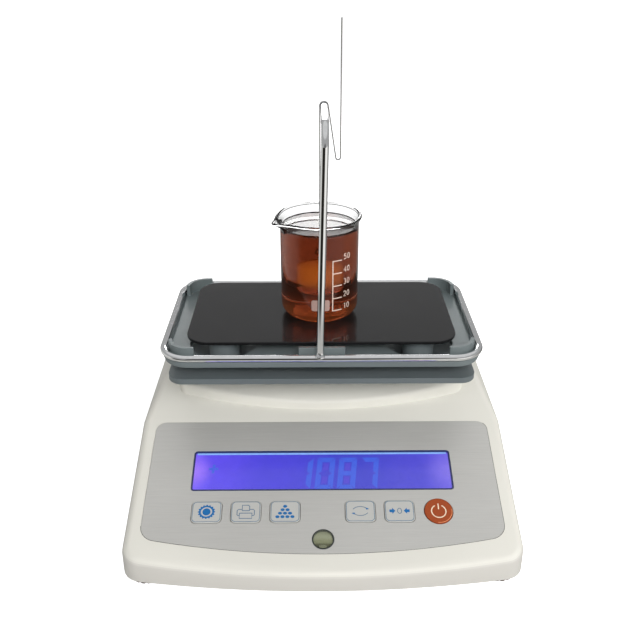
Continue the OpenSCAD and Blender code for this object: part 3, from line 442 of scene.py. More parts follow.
def metal(name, color, rough=0.25, scratch=0.05, scale=(900, 900, 60)):
    """Machined or polished metal with faint tool marks. The colour is linear."""
    n = Nodes(name)
    marks = n.noise(1.0, 5.0, 0.6, n.coord(scale))
    n.set(metallic=1.0, rough=rough)
    n.set(color=n.ramp(marks, [(0.35, scaled(color, 0.93)), (0.65, color)]),
        rough=n.range(marks, 0.3, 0.7, max(0.02, rough - 0.04), rough + 0.06),
        normal=n.bump(marks, 0.00002, scratch))
    return n.mat


def brushed_overlay():
    n = Nodes("brushed_overlay")
    fine = n.noise(1.0, 4.0, 0.65, n.coord((60, 7000, 7000)))
    long = n.noise(1.0, 3.0, 0.55, n.coord((11, 2400, 2400)))
    slow = n.noise(9.0, 2.0, 0.5, n.coord((1, 1.6, 1.6)))
    grain = n.ramp(fine, [(0.3, srgb(190, 189, 185)), (0.7, srgb(211, 210, 206))])
    streak = n.ramp(long, [(0.35, srgb(198, 197, 193)), (0.65, srgb(207, 206, 202))])
    cloud = n.ramp(slow, [(0.35, (0.93, 0.93, 0.93)), (0.65, WHITE)])
    n.set(metallic=0.35, rough=0.42)
    n.set(color=n.mix(1.0, n.mix(0.4, grain, streak), cloud, 'MULTIPLY'),
        rough=n.range(long, 0.3, 0.7, 0.38, 0.46), normal=n.bump(fine, 0.00003, 0.25))
    return n.mat


def black_acrylic():
    n = Nodes("black_bridge")
    n.set(rough=0.06, ior=1.5)
    n.set(color=n.ramp(n.noise(20.0, 3.0), [(0.3, srgb(24, 24, 25)), (0.7, srgb(29, 29, 30))]),
        rough=n.range(n.noise(60.0, 4.0), 0.3, 0.7, 0.045, 0.09),
        normal=n.bump(n.noise(1500.0, 2.0), 0.00002, 0.03))
    return n.mat


def beaker_glass():
    """Clear glass with a little grey in its depth, which darkens its edges."""
    n = Nodes("beaker_glass")
    n.set(color=WHITE, rough=0.0, ior=1.47, transmission=1.0, tint=(0.6, 0.6, 0.6, 1.0),
        normal=n.bump(n.noise(60.0, 2.0), 0.00004, 0.05))
    n.volume(n.absorption((0.10, 0.14, 0.14, 1.0), 42.0))
    return n.mat


def amber_liquid():
    """Clear amber liquid: the colour comes from the depth that the light crosses, and a glow near
    the foot stands for the light that gathers there."""
    n = Nodes("amber_liquid")
    n.set(color=(1.0, 0.97, 0.92, 1.0), rough=0.0, ior=1.36, transmission=1.0,
        tint=(0.5, 0.5, 0.5, 1.0), normal=n.bump(n.noise(25.0, 2.0), 0.00002, 0.03))
    foot = n.below(n.split(n.coord())["Z"], (BEAKER_Z + 5.0) * MM, (BEAKER_Z + 11.0) * MM)
    n.volume(n.node("ShaderNodeAddShader", {0: n.absorption((0.58, 0.22, 0.03, 1.0), 119.0),
        1: n.emission((1.0, 0.36, 0.04, 1.0), n.range(foot, 0.0, 1.0, 0.8, 4.6))}))
    return n.mat


def sinker_glass():
    """Solid glass. Below the liquid's surface its index is the one against the liquid, and a glow
    in its depth stands for the light that it gathers."""
    surface = ((BEAKER_Z + LIQUID_TOP + 1.0) * MM, (BEAKER_Z + LIQUID_TOP + 2.0) * MM)
    n = Nodes("sinker_glass")
    n.set(color=WHITE, rough=0.0, transmission=1.0,
        normal=n.bump(n.noise(60.0, 2.0), 0.00004, 0.05))
    level = n.split(n.outputs("ShaderNodeNewGeometry")["Position"])["Z"]
    n.set(ior=n.range(level, *surface, 1.03, 1.5))
    glow = n.range(n.split(n.coord())["Z"], 0.1215, 0.1250, 1.0, 30.0, True)
    glow = n.times(glow, n.range(level, *surface, 1.0, 0.0))
    n.volume(n.emission((1.0, 0.62, 0.06, 1.0), glow))
    return n.mat


def enamel(name, color, low, high):
    """Pale print fired on the glass, as opaque as low to high."""
    n = Nodes(name)
    speck = n.noise(1400.0, 3.0)
    n.set(rough=0.45, color=n.ramp(speck, [(0.35, scaled(color, 0.93)), (0.6, color)]),
        alpha=n.range(speck, 0.30, 0.60, low, high))
    return n.mat


def lcd_backlight():
    """Blue backlight: a violet glow at both ends, and a lamp at the left and at the right."""
    n = Nodes("lcd_backlight")
    x, y, z = n.split(n.coord())
    base = n.ramp(n.range(x, -0.0733, 0.0733), [(0.0, srgb(112, 88, 246)),
        (0.08, srgb(88, 70, 234)), (0.30, srgb(68, 60, 214)), (0.62, srgb(58, 62, 198)),
        (0.86, srgb(72, 68, 206)), (1.0, srgb(98, 88, 222))], smooth=True)
    rise = n.ramp(n.range(z, 0.0312, 0.0405), [(0.0, WHITE), (0.45, (0.98, 0.96, 0.98)),
        (1.0, (1.05, 1.0, 1.0))])
    color = n.mix(1.0, base, rise, 'MULTIPLY')
    height = n.times(n.math('ADD', z, -0.0362), 3.0)
    for side, reach, strength, lamp in ((0.0735, 0.014, 0.40, srgb(206, 150, 255)),
            (-0.0735, 0.018, 0.25, srgb(182, 160, 250))):
        near = n.below(n.distance(n.math('ADD', x, side), height), 0.0, reach)
        color = n.mix(n.times(near, strength), color, lamp)
    mottle = n.ramp(n.noise(260.0, 3.0), [(0.35, (0.95, 0.95, 0.97)),
        (0.65, (1.04, 1.04, 1.03))])
    n.set(color=(0.02, 0.02, 0.06, 1.0), rough=0.35, emit_strength=1.0,
        emit=n.mix(1.0, color, mottle, 'MULTIPLY'))
    return n.mat


def lcd_plain(name, color, strength=1.0, spread=0.06):
    n = Nodes(name)
    n.set(color=(0.02, 0.03, 0.08, 1.0), rough=0.4, emit_strength=strength,
        emit=n.ramp(n.noise(320.0, 3.0), [(0.35, scaled(color, 1 - spread)), (0.65, color)]))
    return n.mat


def window_cover():
    """The clear window: light passes, and its face mirrors the room."""
    n = Nodes("window_cover")
    gloss = n.node("ShaderNodeBsdfGlossy",
        {"Roughness": n.range(n.noise(80.0, 3.0), 0.3, 0.7, 0.10, 0.16)})
    n.surface(n.mix_shader(n.node("ShaderNodeFresnel", {"IOR": 1.3}),
        n.node("ShaderNodeBsdfTransparent"), gloss))
    return n.mat


def level_liquid():
    n = Nodes("level_liquid")
    # Painted shade: the disc is dark at its front edge and lighter towards the back.
    up = n.range(n.split(n.coord())["Y"], -0.0968, -0.0866)
    n.set(rough=0.25, color=n.ramp(up, [(0.0, srgb(58, 60, 40)), (0.16, srgb(84, 86, 58)),
        (0.32, srgb(138, 142, 108)), (0.6, srgb(158, 162, 134)), (1.0, srgb(128, 132, 108))],
        smooth=True))
    return n.mat


# Its last colour is painted shade on the housing's low upright faces.
CREAM = plastic("cream_abs", (226, 224, 215), 0.42, 0.10, 0.012, 3200.0, (206, 203, 196))
# The base is the housing's cream plastic made darker: painted shade.
BASE_CREAM_SHADED = plastic("cream_base_shaded", (172, 170, 163), 0.5, 0.12, 0.012)
GREY = plastic("grey_coating", (108, 117, 118), 0.36, 0.12, grain_scale=2200.0)
# The fixed plate and its posts are the tray's grey made darker: painted shade under the tray.
GREY_SHADED = plastic("grey_coating_fixed_shaded", (98, 106, 108), 0.42, 0.12, grain_scale=2200.0)
DARK_PLASTIC = plastic("dark_plastic", (38, 38, 40), 0.38, 0.1)
DARK_CAST = plastic("dark_cast", (70, 72, 75), 0.5, 0.25, grain_scale=1200.0)
FOOT_BROWN = plastic("foot_brown", (66, 38, 32), 0.35, 0.08)
RUBBER = plastic("pad_rubber", (28, 27, 27), 0.8, 0.25, grain_scale=1500.0)
BOARD = plastic("board_mask", (28, 84, 52), 0.3, 0.1)
KEY_CAP = plastic("key_cap", (190, 190, 186), 0.34, 0.06, 0.012)
POWER_CAP = plastic("power_cap", (156, 68, 26), 0.36, 0.05)
ICON_BLUE = plastic("icon_blue", (20, 104, 168), 0.4, 0.0)
ICON_GREY = plastic("icon_grey_blue", (98, 122, 146), 0.4, 0.0)
ICON_CREAM = plastic("icon_cream", (240, 222, 196), 0.4, 0.0, 0.01)
KEY_LINE = plastic("key_line", (100, 124, 144), 0.4, 0.0, 0.03)
# A painted highlight on the power key's rim.
POWER_RIM_HIGHLIGHT = plastic("power_rim_highlight", (226, 150, 104), 0.35, 0.0)
GAP_LINE = plastic("overlay_gap_shadow", (66, 63, 57), 0.7, 0.0)
LEVEL_RING = plastic("level_ring", (52, 56, 54), 0.3, 0.05)
LEVEL_BUBBLE = plastic("level_bubble", (122, 126, 98), 0.2, 0.0)
LEVEL_DISC = level_liquid()
CHROME = metal("chrome_plating", (0.86, 0.87, 0.88, 1.0), 0.06, 0.02, (300, 300, 40))
STEEL = metal("steel_wire", (0.60, 0.60, 0.61, 1.0), 0.16, 0.04, (800, 800, 80))
ZINC = metal("zinc_screws", (0.74, 0.74, 0.72, 1.0))
ALUMINIUM = metal("machined_aluminium", (0.80, 0.81, 0.82, 1.0), 0.28, scale=(120, 1600, 1600))
TIN = metal("tinned_shell", (0.72, 0.73, 0.73, 1.0), 0.3, 0.04)
BRASS = metal("insert_brass", (0.78, 0.60, 0.28, 1.0), 0.3)
CONTACT = metal("contact_gold", (0.85, 0.66, 0.30, 1.0), 0.2, 0.02)
OVERLAY = brushed_overlay()
BLACK = black_acrylic()
GLASS = beaker_glass()
SINKER_GLASS = sinker_glass()
LIQUID = amber_liquid()
ENAMEL = enamel("white_enamel", srgb(236, 214, 200), 0.85, 0.97)
ENAMEL_THIN = enamel("thin_enamel", srgb(206, 176, 166), 0.58, 0.66)
LCD_BACK = lcd_backlight()
LCD_LIT = lcd_plain("lcd_lit", srgb(58, 90, 218))
LCD_GHOST = lcd_plain("lcd_ghost", srgb(80, 60, 204))
LCD_STRIP = lcd_plain("lcd_strip", srgb(140, 184, 250), spread=0.12)
LCD_EDGE = lcd_plain("lcd_edge", srgb(24, 26, 84), 0.6)
COVER = window_cover()


# ---------------------------------------------------------------- CAD nodes with rounded edges

def body_name(node):
    for body, names in frame["record"]["behaviour"]["bodies"].items():
        if node in names:
            return body
    return None


def skin(node, material, slot, bevel=0.3, segments=3):
    """The node's own mesh with flat faces joined and edges rounded, in place of the node."""
    bm = bmesh.new()
    bm.from_mesh(frame["nodes"][node].data)
    bmesh.ops.remove_doubles(bm, verts=bm.verts, dist=2e-6)
    bmesh.ops.dissolve_limit(bm, angle_limit=math.radians(0.4), verts=bm.verts, edges=bm.edges)
    obj = new_piece(node + "_skin", bm, body_name(node), slot, material, outward=False)
    round_edges(obj, bevel, segments, 35)
    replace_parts(obj, node)


def paint(material, *nodes):
    """Give the CAD nodes that stay a better material."""
    for node in nodes:
        obj = frame["nodes"][node]
        obj.data.materials.clear()
        obj.data.materials.append(material)


skin("top_housing", CREAM, "cream_plastic", 0.35)
skin("base_plate", BASE_CREAM_SHADED, "cream_plastic", 0.4)
skin("panel_overlay", OVERLAY, "overlay", 0.18, 2)
skin("post_plate", GREY_SHADED, "grey_plate", 0.5)
skin("weighing_tray", GREY, "grey_plate", 0.4)
for key in ("key_settings", "key_print", "key_enter", "key_mode", "key_zero"):
    skin(key, KEY_CAP, "key_plastic", 0.35)
skin("key_power", POWER_CAP, "power_key_plastic", 0.45)
CORNERS = ("front_left", "front_right", "rear_left", "rear_right")
for corner in CORNERS:
    skin("post_" + corner, GREY_SHADED, "grey_plate", 0.2)
for corner in CORNERS:
    skin("foot_" + corner, FOOT_BROWN, "foot_plastic", 0.3)
    skin("pad_" + corner, RUBBER, "foot_rubber", 0.25)
for part in ("load_cell", "cell_spacer", "live_spacer", "carrier_arm", "pan_spindle"):
    skin(part, ALUMINIUM, "aluminium", 0.25, 2)
skin("pan_spider", DARK_CAST, "spider_cast", 0.4)
skin("dc_jack", DARK_PLASTIC, "black_plastic")
skin("serial_port", TIN, "port_shell")
paint(ZINC, "housing_screws", "display_screws", "plate_screws", "post_screws", "cell_bolts",
    "carrier_screws")
paint(STEEL, "overload_stop")
paint(TIN, "display_module")
paint(BOARD, "key_board", "main_board")
paint(DARK_PLASTIC, "key_switches")
paint(BRASS, "foot_inserts")


# ---------------------------------------------------------------- bridge plate

def bridge_plate():
    plates = Plates(Matrix.Translation((0, PAN_Y * MM, 0)), BRIDGE_Z, BRIDGE_T)
    plates.plate(outline_rounded(BRIDGE_W, BRIDGE_D, BRIDGE_R, 16))
    obj = plates.done("bridge_plate_skin", "bridge", "black_plate", BLACK, True, 30)
    round_edges(obj, 0.5, 4, 40)
    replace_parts(obj, "bridge_plate")


bridge_plate()


# ---------------------------------------------------------------- wire ring, mast and hook

def chrome_wire(name, points, closed=False):
    return tube(name, points, WIRE_R, "hanger", "chrome_wire", CHROME, 40, closed)


def steel_wire(name, points, closed=False):
    return tube(name, points, HOOK_R, "hook_body", "steel_wire", STEEL, 16, closed)


def ring_frame():
    def cuts(p, q):
        return int(math.dist(p, q) / 4) if math.dist(p, q) > 10 else 1

    pts = finer(outline_rounded(RING_W, RING_D, RING_R, 20), cuts)
    obj = chrome_wire("ring_wire", [(x, PAN_Y + y, RING_Z) for x, y in pts], True)
    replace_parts(obj, "ring_frame")


def leaned(y, z):
    """A point of the mast's own plane, in millimetres, after its lean."""
    return (MAST_X + z * math.sin(LEAN), MAST_Y + y, RING_Z + z * math.cos(LEAN))


def mast():
    foot, bend_z, arm = (0, 1.9), MAST_H - MAST_BEND, PAN_Y - MAST_Y + 1.6
    path = [foot] + run(foot, (0, bend_z), 60)
    path += arc(MAST_BEND, bend_z, MAST_BEND, 180, 90)[1:]
    path += run((MAST_BEND, MAST_H), (arm, MAST_H), 24)
    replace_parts(chrome_wire("mast_wire", [leaned(y, z) for y, z in path]), "mast")

    # The weld bead at the mast's foot, laid on the ring's round wire.
    weld = lathe([(0, 0.6), (2.9, 0.9), (3.0, 1.3), (2.75, 1.9), (2.45, 2.5), (2.2, 3.2),
        (2.05, 3.9), (0, 3.9)], "mast_weld", "hanger", "chrome_wire", CHROME, steps=48,
        matrix=Matrix.Translation(Vector((MAST_X, MAST_Y, RING_Z)) * MM)
        @ Matrix.Rotation(LEAN, 4, 'Y'), angle=60)
    for v in weld.data.vertices:
        dy = v.co.y / MM - MAST_Y
        wire_top = RING_Z + math.sqrt(max(0.0, (WIRE_R - 0.02) ** 2 - dy * dy))
        v.co.z = max(v.co.z, wire_top * MM)

    # Two fine dark rings round the arm, painted shade of grooves: where the hook hangs and just
    # past the bend.
    for i, y in enumerate((PAN_Y - MAST_Y, 12.5)):
        ring = arc(ARM_X, ARM_Z, WIRE_R - 0.03, 0, 360, 48)[:-1]
        tube("arm_groove_shade_%d" % i, [(x, MAST_Y + y, z) for x, z in ring], 0.16, "hanger",
            "chrome_wire", DARK_PLASTIC, 8, True)


def hook():
    def upright(points):
        return [(x, PAN_Y, z) for x, z in points]

    steel_wire("hook_link", upright(arc(LEG_X, LINK_Z, LINK_R, 0, 360, 40)[:-1]), True)

    # The wire: up from the link, over the arm, down in a slant to the vee, and up to its tip.
    vee_x, vee_z = ARM_X + 9.3 - VEE_R, ARM_Z - 30.0 + VEE_R
    dx, dz = vee_x - ARM_X, ARM_Z - vee_z
    slant = math.degrees(math.atan2(dx, dz) - math.asin((LOOP_R + VEE_R) / math.hypot(dx, dz)))
    foot = (LEG_X, LINK_Z + LINK_R)
    leg = [foot] + run(foot, (LEG_X, ARM_Z), 30) + arc(ARM_X, ARM_Z, LOOP_R, 180, slant)[1:]
    vee = arc(vee_x, vee_z, VEE_R, 180 + slant, 360)
    leg += run(leg[-1], vee[0], 20)[:-1] + vee
    top = vee_z + 45.8 + 30.0 - VEE_R
    leg += run(vee[-1], (vee_x + VEE_R, top), 30)[:-1] + [(vee_x + VEE_R, top - HOOK_R)]
    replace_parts(steel_wire("hook_wire", upright(leg)), "hook")

    eye = arc(PAN_Y, EYE_Z, LINK_R, 0, 360, 40)[:-1]
    loop = steel_wire("sinker_loop", [(LEG_X, y, z) for y, z in eye], True)
    steel_wire("sinker_stem", [(LEG_X, PAN_Y, 135.5 + 3.9 * k / 8) for k in range(9)])
    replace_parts(loop, "sinker_eye")


ring_frame()
mast()
hook()


# ---------------------------------------------------------------- sinker

def sinker():
    pts = [(0, SINKER_Z)]
    pts += arc(SINKER_R - SINKER_EDGE, SINKER_Z + SINKER_EDGE, SINKER_EDGE, -90, 0, 8)
    dome_r = (SINKER_R ** 2 + SINKER_DOME ** 2) / (2 * SINKER_DOME)
    for k in range(17):
        x = SINKER_R * (1 - k / 16)
        pts.append((x, SINKER_Z + SINKER_H + math.sqrt(dome_r ** 2 - x * x) - dome_r))
    obj = lathe([(r * 0.995, z) for r, z in pts], "sinker_body", "hook_body", "sinker_glass",
        SINKER_GLASS, centre=(LEG_X, PAN_Y), steps=64, angle=40)
    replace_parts(obj, "sinker")


sinker()


# ---------------------------------------------------------------- beaker, liquid and scale

SPOUT_AT, SCALE_AT = math.radians(207), math.radians(-90)


def beaker_point(r, z, angle):
    """Radius and height after the rim's flare and the spout's pull."""
    z -= BEAKER_Z
    t = (angle - SPOUT_AT + math.pi) % (2 * math.pi) - math.pi
    flare = 1.5 * smoothstep(BEAKER_H - 6, BEAKER_H, z) ** 1.5
    up = smoothstep(BEAKER_H - 10.5, BEAKER_H, z)
    pull = 3.2 * math.exp(-(t / 0.16) ** 2) + 2.6 * math.exp(-(t / 0.42) ** 2)
    drop = 0.8 * math.exp(-(t / 0.26) ** 2) * smoothstep(BEAKER_H - 5, BEAKER_H, z)
    return r + flare + pull * up ** 1.6, BEAKER_Z + z - drop


def beaker():
    neck, lip, lip_r = BEAKER_H - 11, BEAKER_H - 0.8, 1.05
    ri, fi = BEAKER_R - WALL, FOOT_R - WALL * 0.5
    heel = WALL + fi
    profile = [(0.0, 0.0)] + arc(BEAKER_R - FOOT_R, FOOT_R, FOOT_R, -90, 0, 10)
    profile += run((BEAKER_R, FOOT_R), (BEAKER_R, neck), 24)
    profile += run((BEAKER_R, neck), (BEAKER_R, lip), 22)
    profile += arc(BEAKER_R - WALL / 2, BEAKER_H - lip_r, lip_r, -30, 210, 8)[1:-1]
    profile += [(ri, lip)] + run((ri, lip), (ri, neck), 22) + run((ri, neck), (ri, heel), 24)
    profile += arc(ri - fi, heel, fi, 0, -90, 10)[1:] + [(0.0, WALL)]

    def turned(points, name, slot, material, steps, warp=None):
        return lathe([(r, BEAKER_Z + z) for r, z in points], name, "beaker", slot, material,
            centre=(BEAKER_X, PAN_Y), steps=steps, angle=None, warp=warp)

    wall = turned(profile, "beaker_wall", "beaker_glass", GLASS, 192, beaker_point)
    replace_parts(wall, "beaker")

    # The liquid reaches a little into the wall, so that no film of air lies between them, and
    # climbs it in a low meniscus.
    lap, climb = 0.04, 0.4
    edge = ri + lap
    pts = [(0.0, WALL - lap)] + arc(ri - fi, heel, fi + lap, -90, 0, 10)
    pts += run((edge, heel), (edge, LIQUID_TOP + climb), 20)
    for k in range(1, 9):
        s = math.sin(math.radians(90 * k / 8))
        pts.append((edge - 0.7 * s, LIQUID_TOP + climb * (1 - s) ** 2))
    turned(pts + [(0.0, LIQUID_TOP)], "beaker_liquid", None, LIQUID, 128)


def wrapped_plate(bm, outline, thickness=0.06):
    """A thin plate on the beaker's wall. Its outline is in (arc length, height), and long edges
    are cut to follow the wall."""
    pts = finer(outline, lambda p, q: max(1, int(abs(q[0] - p[0]) / 0.8)))
    flat = bmesh.new()
    flat.faces.new([flat.verts.new((x, 0, z)) for x, z in pts])
    bmesh.ops.triangulate(flat, faces=flat.faces)
    flat.verts.index_update()

    def wrap(r):
        angles = [(SCALE_AT + v.co.x / BEAKER_R, v.co.z) for v in flat.verts]
        return [bm.verts.new(((BEAKER_X + r * math.cos(a)) * MM, (PAN_Y + r * math.sin(a)) * MM,
            (BEAKER_Z + z) * MM)) for a, z in angles]

    inner, outer = wrap(BEAKER_R + 0.02), wrap(BEAKER_R + 0.02 + thickness)
    for face in flat.faces:
        ids = [v.index for v in face.verts]
        bm.faces.new([outer[i] for i in ids])
        bm.faces.new([inner[i] for i in reversed(ids)])
    for edge in flat.edges:
        if len(edge.link_faces) == 1:
            a, b = edge.verts[0].index, edge.verts[1].index
            bm.faces.new((outer[a], outer[b], inner[b], inner[a]))
    flat.free()


# The strokes of each digit, in a square from 0 to 1.
DIGITS = {
    "0": [[(0.5, 0), (0.15, 0.2), (0.1, 0.5), (0.15, 0.8), (0.5, 1), (0.85, 0.8), (0.9, 0.5),
        (0.85, 0.2), (0.5, 0)]],
    "1": [[(0.3, 0.8), (0.6, 1.0), (0.6, 0.0)]],
    "2": [[(0.12, 0.75), (0.25, 0.95), (0.6, 1.0), (0.85, 0.8), (0.8, 0.55), (0.12, 0.02),
        (0.9, 0.02)]],
    "3": [[(0.15, 0.9), (0.5, 1.0), (0.82, 0.85), (0.75, 0.6), (0.45, 0.53)],
        [(0.45, 0.53), (0.8, 0.42), (0.86, 0.18), (0.55, 0.0), (0.12, 0.1)]],
    "4": [[(0.7, 0.0), (0.7, 1.0), (0.08, 0.3), (0.95, 0.3)]],
    "5": [[(0.85, 0.98), (0.25, 0.98), (0.18, 0.55), (0.55, 0.62), (0.85, 0.45), (0.82, 0.15),
        (0.5, 0.0), (0.12, 0.1)]],
}


def beaker_scale():
    """The graduations: an upright line, five ticks and plain numbers, and a bare writing patch."""
    bm = bmesh.new()
    line_at, tick, half, digit_w, digit_h = 7.6, 5.8, 0.31, 2.1, 3.3
    ticks = {"10": 9.25, "20": 16.95, "30": 24.65, "40": 32.35, "50": 40.05}
    wrapped_plate(bm, outline_box(line_at - half, ticks["10"] - half, line_at + half,
        ticks["50"] + half))
    for h in ticks.values():
        wrapped_plate(bm, outline_box(line_at + half, h - half, line_at + tick, h + half))
    for number, h in ticks.items():
        for place, digit in enumerate(number):
            x0 = line_at + tick + 1.2 + place * 2.6
            for line in DIGITS[digit]:
                left, right = stroke([(x0 + x * digit_w, h + 0.1 + y * digit_h)
                    for x, y in line], 0.46)
                for i in range(len(line) - 1):
                    wrapped_plate(bm, [right[i], right[i + 1], left[i + 1], left[i]])
    new_piece("beaker_print", bm, "beaker", None, ENAMEL, smooth=False)
    bm = bmesh.new()
    wrapped_plate(bm, [(x + 0.4, y + 13.0) for x, y in outline_rounded(10.6, 6.8, 1.1, 5)], 0.05)
    new_piece("beaker_patch", bm, "beaker", None, ENAMEL_THIN, smooth=False)


beaker()
beaker_scale()


# ---------------------------------------------------------------- display

SEGMENTS = {
    "a": [(0.04, 1.0), (0.96, 1.0), (0.74, 0.86), (0.26, 0.86)],
    "d": [(0.04, 0.0), (0.96, 0.0), (0.74, 0.14), (0.26, 0.14)],
    "g": [(0.12, 0.5), (0.27, 0.57), (0.73, 0.57), (0.88, 0.5), (0.73, 0.43), (0.27, 0.43)],
    "f": [(0.0, 0.98), (0.29, 0.84), (0.29, 0.56), (0.12, 0.50), (0.0, 0.50)],
    "e": [(0.0, 0.02), (0.29, 0.16), (0.29, 0.44), (0.12, 0.50), (0.0, 0.50)],
    "b": [(1.0, 0.98), (0.71, 0.84), (0.71, 0.56), (0.88, 0.50), (1.0, 0.50)],
    "c": [(1.0, 0.02), (0.71, 0.16), (0.71, 0.44), (0.88, 0.50), (1.0, 0.50)],
}
SEVEN = {"0": "abcdef", "1": "bc", "7": "abc", "8": "abcdefg"}


def display():
    """From below: the panel, its dark border, the strip of light, the digits and the window."""
    lens = slope_at(0, LENS_V)
    lcd = -0.9

    def done(plates, name, material):
        return plates.done(name, "housing", "display_glass", material)

    panel = Plates(lens, lcd - 0.6, 0.6)
    panel.plate(outline_rounded(LENS_W - 0.4, LENS_H - 0.4, 1.6))
    done(panel, "lcd_panel", LCD_BACK)

    border = Plates(lens, -1.6, 0.1)
    border.plate(outline_rounded(LENS_W, LENS_H, LENS_R))
    border.plate(outline_rounded(LENS_W, LENS_H, LENS_R),
        outline_rounded(LENS_W - 1.5, LENS_H - 1.5, 1.2), (-1.5, 0.12))
    done(border, "lcd_border", LCD_EDGE)

    strip = Plates(lens, lcd, 0.06)
    x, y = LENS_W / 2 - 1.6, LENS_H / 2 - 0.8
    strip.plate(outline_box(-x, y - 1.15, x, y))
    done(strip, "lcd_light_strip", LCD_STRIP)

    lit, ghost = Plates(lens, lcd, 0.05), Plates(lens, lcd)
    w, h, pitch, lean = 10.2, 21.2, 12.5, 0.105
    first_x, first_y = -17.1, -12.2
    for i, digit in enumerate("1087"):
        def place(points):
            return [(first_x + i * pitch + x * w + lean * y * h, first_y + y * h)
                for x, y in points]
        for name, points in SEGMENTS.items():
            if name in SEVEN[digit]:
                lit.plate(place(points))
        if digit in "08":
            for low, high in ((0.18, 0.40), (0.60, 0.82)):
                ghost.plate(place(outline_box(0.36, low, 0.64, high)))
    x, y = -61.8, 1.7
    for a, b in ((2.7, 0.75), (0.75, 2.9)):
        s = 0.1 * b
        lit.plate([(x - a - s, y - b), (x + a - s, y - b), (x + a + s, y + b),
            (x - a + s, y + b)])
    done(lit, "lcd_digits", LCD_LIT)
    done(ghost, "lcd_ghost_digits", LCD_GHOST)

    window = Plates(lens, 0.13, 0.07)
    window.plate(outline_rounded(LENS_W - 0.1, LENS_H - 0.1, LENS_R))
    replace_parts(done(window, "display_window", COVER), "display_lens")


display()


# ---------------------------------------------------------------- key faces

def icon(name, key, material, width=0.5, lines=(), plates=(), sink=0.0, slot="key_plastic"):
    """Print on a key's top. A plate is an outline, or an outline and the hole in it."""
    p = Plates(slope_at(KEYS[key], KEY_V), KEY_TOP - sink, 0.03 + sink)
    for points in lines:
        p.line(points, width)
    for outlines in plates:
        p.plate(*outlines)
    p.done(name, key, slot, material)


def key_faces():
    for key in KEYS:
        if key != "key_power":
            icon(key + "_line", key, KEY_LINE, sink=0.01,
                plates=[(outline_rounded(15.5, 12.5, 2.3), outline_rounded(14.8, 11.8, 2.0))])

    def gear(radius, wave):
        return [((radius + wave * math.cos(16 * a)) * math.cos(a),
            0.93 * (radius + wave * math.cos(16 * a)) * math.sin(a)) for a in turns(160)]

    icon("icon_gear", "key_settings", ICON_BLUE,
        plates=[(outline_oval(4.4, 4.4, 40),), (gear(4.42, 0.36), gear(3.1, 0.0))])

    body = [(2.3, 1.4), (4.0, 1.4), (4.7, 0.7), (4.7, -1.9), (4.2, -2.4), (3.4, -2.4)]
    icon("icon_printer", "key_print", ICON_GREY, lines=[body, [(-x, y) for x, y in body],
        [(-2.0, 0.6), (-2.0, 4.0), (1.3, 4.0), (2.0, 3.3), (2.0, 0.6)],
        [(-3.4, -0.9), (3.4, -0.9)], [(-2.0, 0.6), (2.0, 0.6)],
        [(-3.4, -0.9), (-3.4, -4.2), (3.4, -4.2), (3.4, -0.9)]])

    icon("icon_dots", "key_enter", ICON_BLUE, plates=[
        (outline_oval(2.25, 1.75, 24, (k - row / 2) * 2.7, 3.2 - row * 2.15),)
        for row in range(4) for k in range(row + 1)])

    icon("icon_arcs", "key_mode", ICON_GREY, 0.42, [arc(0, -0.6, 4.6, 150, 42, 24, 3.4),
        arc(0, 0.6, 4.6, 330, 222, 24, 3.4)])
    icon("icon_arc_heads", "key_mode", ICON_BLUE, plates=[
        ([(s * 2.7, s * 2.35), (s * 4.9, s * 1.25), (s * 3.3, s * 0.85)],) for s in (1, -1)])

    arrow = [(5.5, 0.85), (4.0, 0.85), (4.0, 1.9), (2.3, 0.0), (4.0, -1.9), (4.0, -0.85),
        (5.5, -0.85)]
    icon("icon_arrows", "key_zero", ICON_BLUE,
        plates=[([(-x, y) for x, y in arrow],), (arrow[::-1],)])
    icon("icon_zero", "key_zero", ICON_GREY,
        plates=[(outline_oval(2.6, 3.7, 32), outline_oval(1.75, 2.8, 32))])

    icon("icon_power", "key_power", ICON_CREAM, 0.62, [arc(0, -0.35, 3.9, 118, 422, 48),
        [(0, 0.9), (0, 4.4)]], slot="power_key_plastic")
    # A painted highlight: a light arc on the lower right of the power key's rim.
    rim = Plates(slope_at(KEYS["key_power"], KEY_V), KEY_TOP - 0.01)
    rim.line(arc(0, 0, 7.25, -98, 8, 40), 0.3)
    rim.done("power_key_highlight_line", "key_power", "power_key_plastic", POWER_RIM_HIGHLIGHT)


key_faces()


# ---------------------------------------------------------------- gap round the overlay

def overlay_gap():
    """The shadow line where the overlay's edge meets its recess: dark below and at the right."""
    w, low, up, bow, r0, r1 = 195.6, 12.7, 99.1, 8.0, 9.0, 6.0
    half = w / 2 - r0

    def turn(x):
        return math.atan(2 * bow * x / half ** 2)

    reach = half + r0 * math.sin(turn(half))
    end = turn(reach)
    cy = low + bow * (reach / half) ** 2 + r0 * math.cos(end)
    right = [(reach * k / 24, low + bow * (reach * k / 24 / half) ** 2) for k in range(25)]
    right += arc(half, cy, r0, math.degrees(end) - 90, 0, 10)[1:]
    left = [(-x, y) for x, y in reversed(right[1:])]
    side = run((w / 2, cy), (w / 2, up - r1), 12) + arc(w / 2 - r1, up - r1, r1, 0, 50, 8)[1:]
    gap = Plates(slope_at(0, 0), 0.0)
    gap.line(left + right + side, 0.42)
    gap.done("overlay_gap_line", "housing", "overlay", GAP_LINE)


overlay_gap()


# ---------------------------------------------------------------- round level

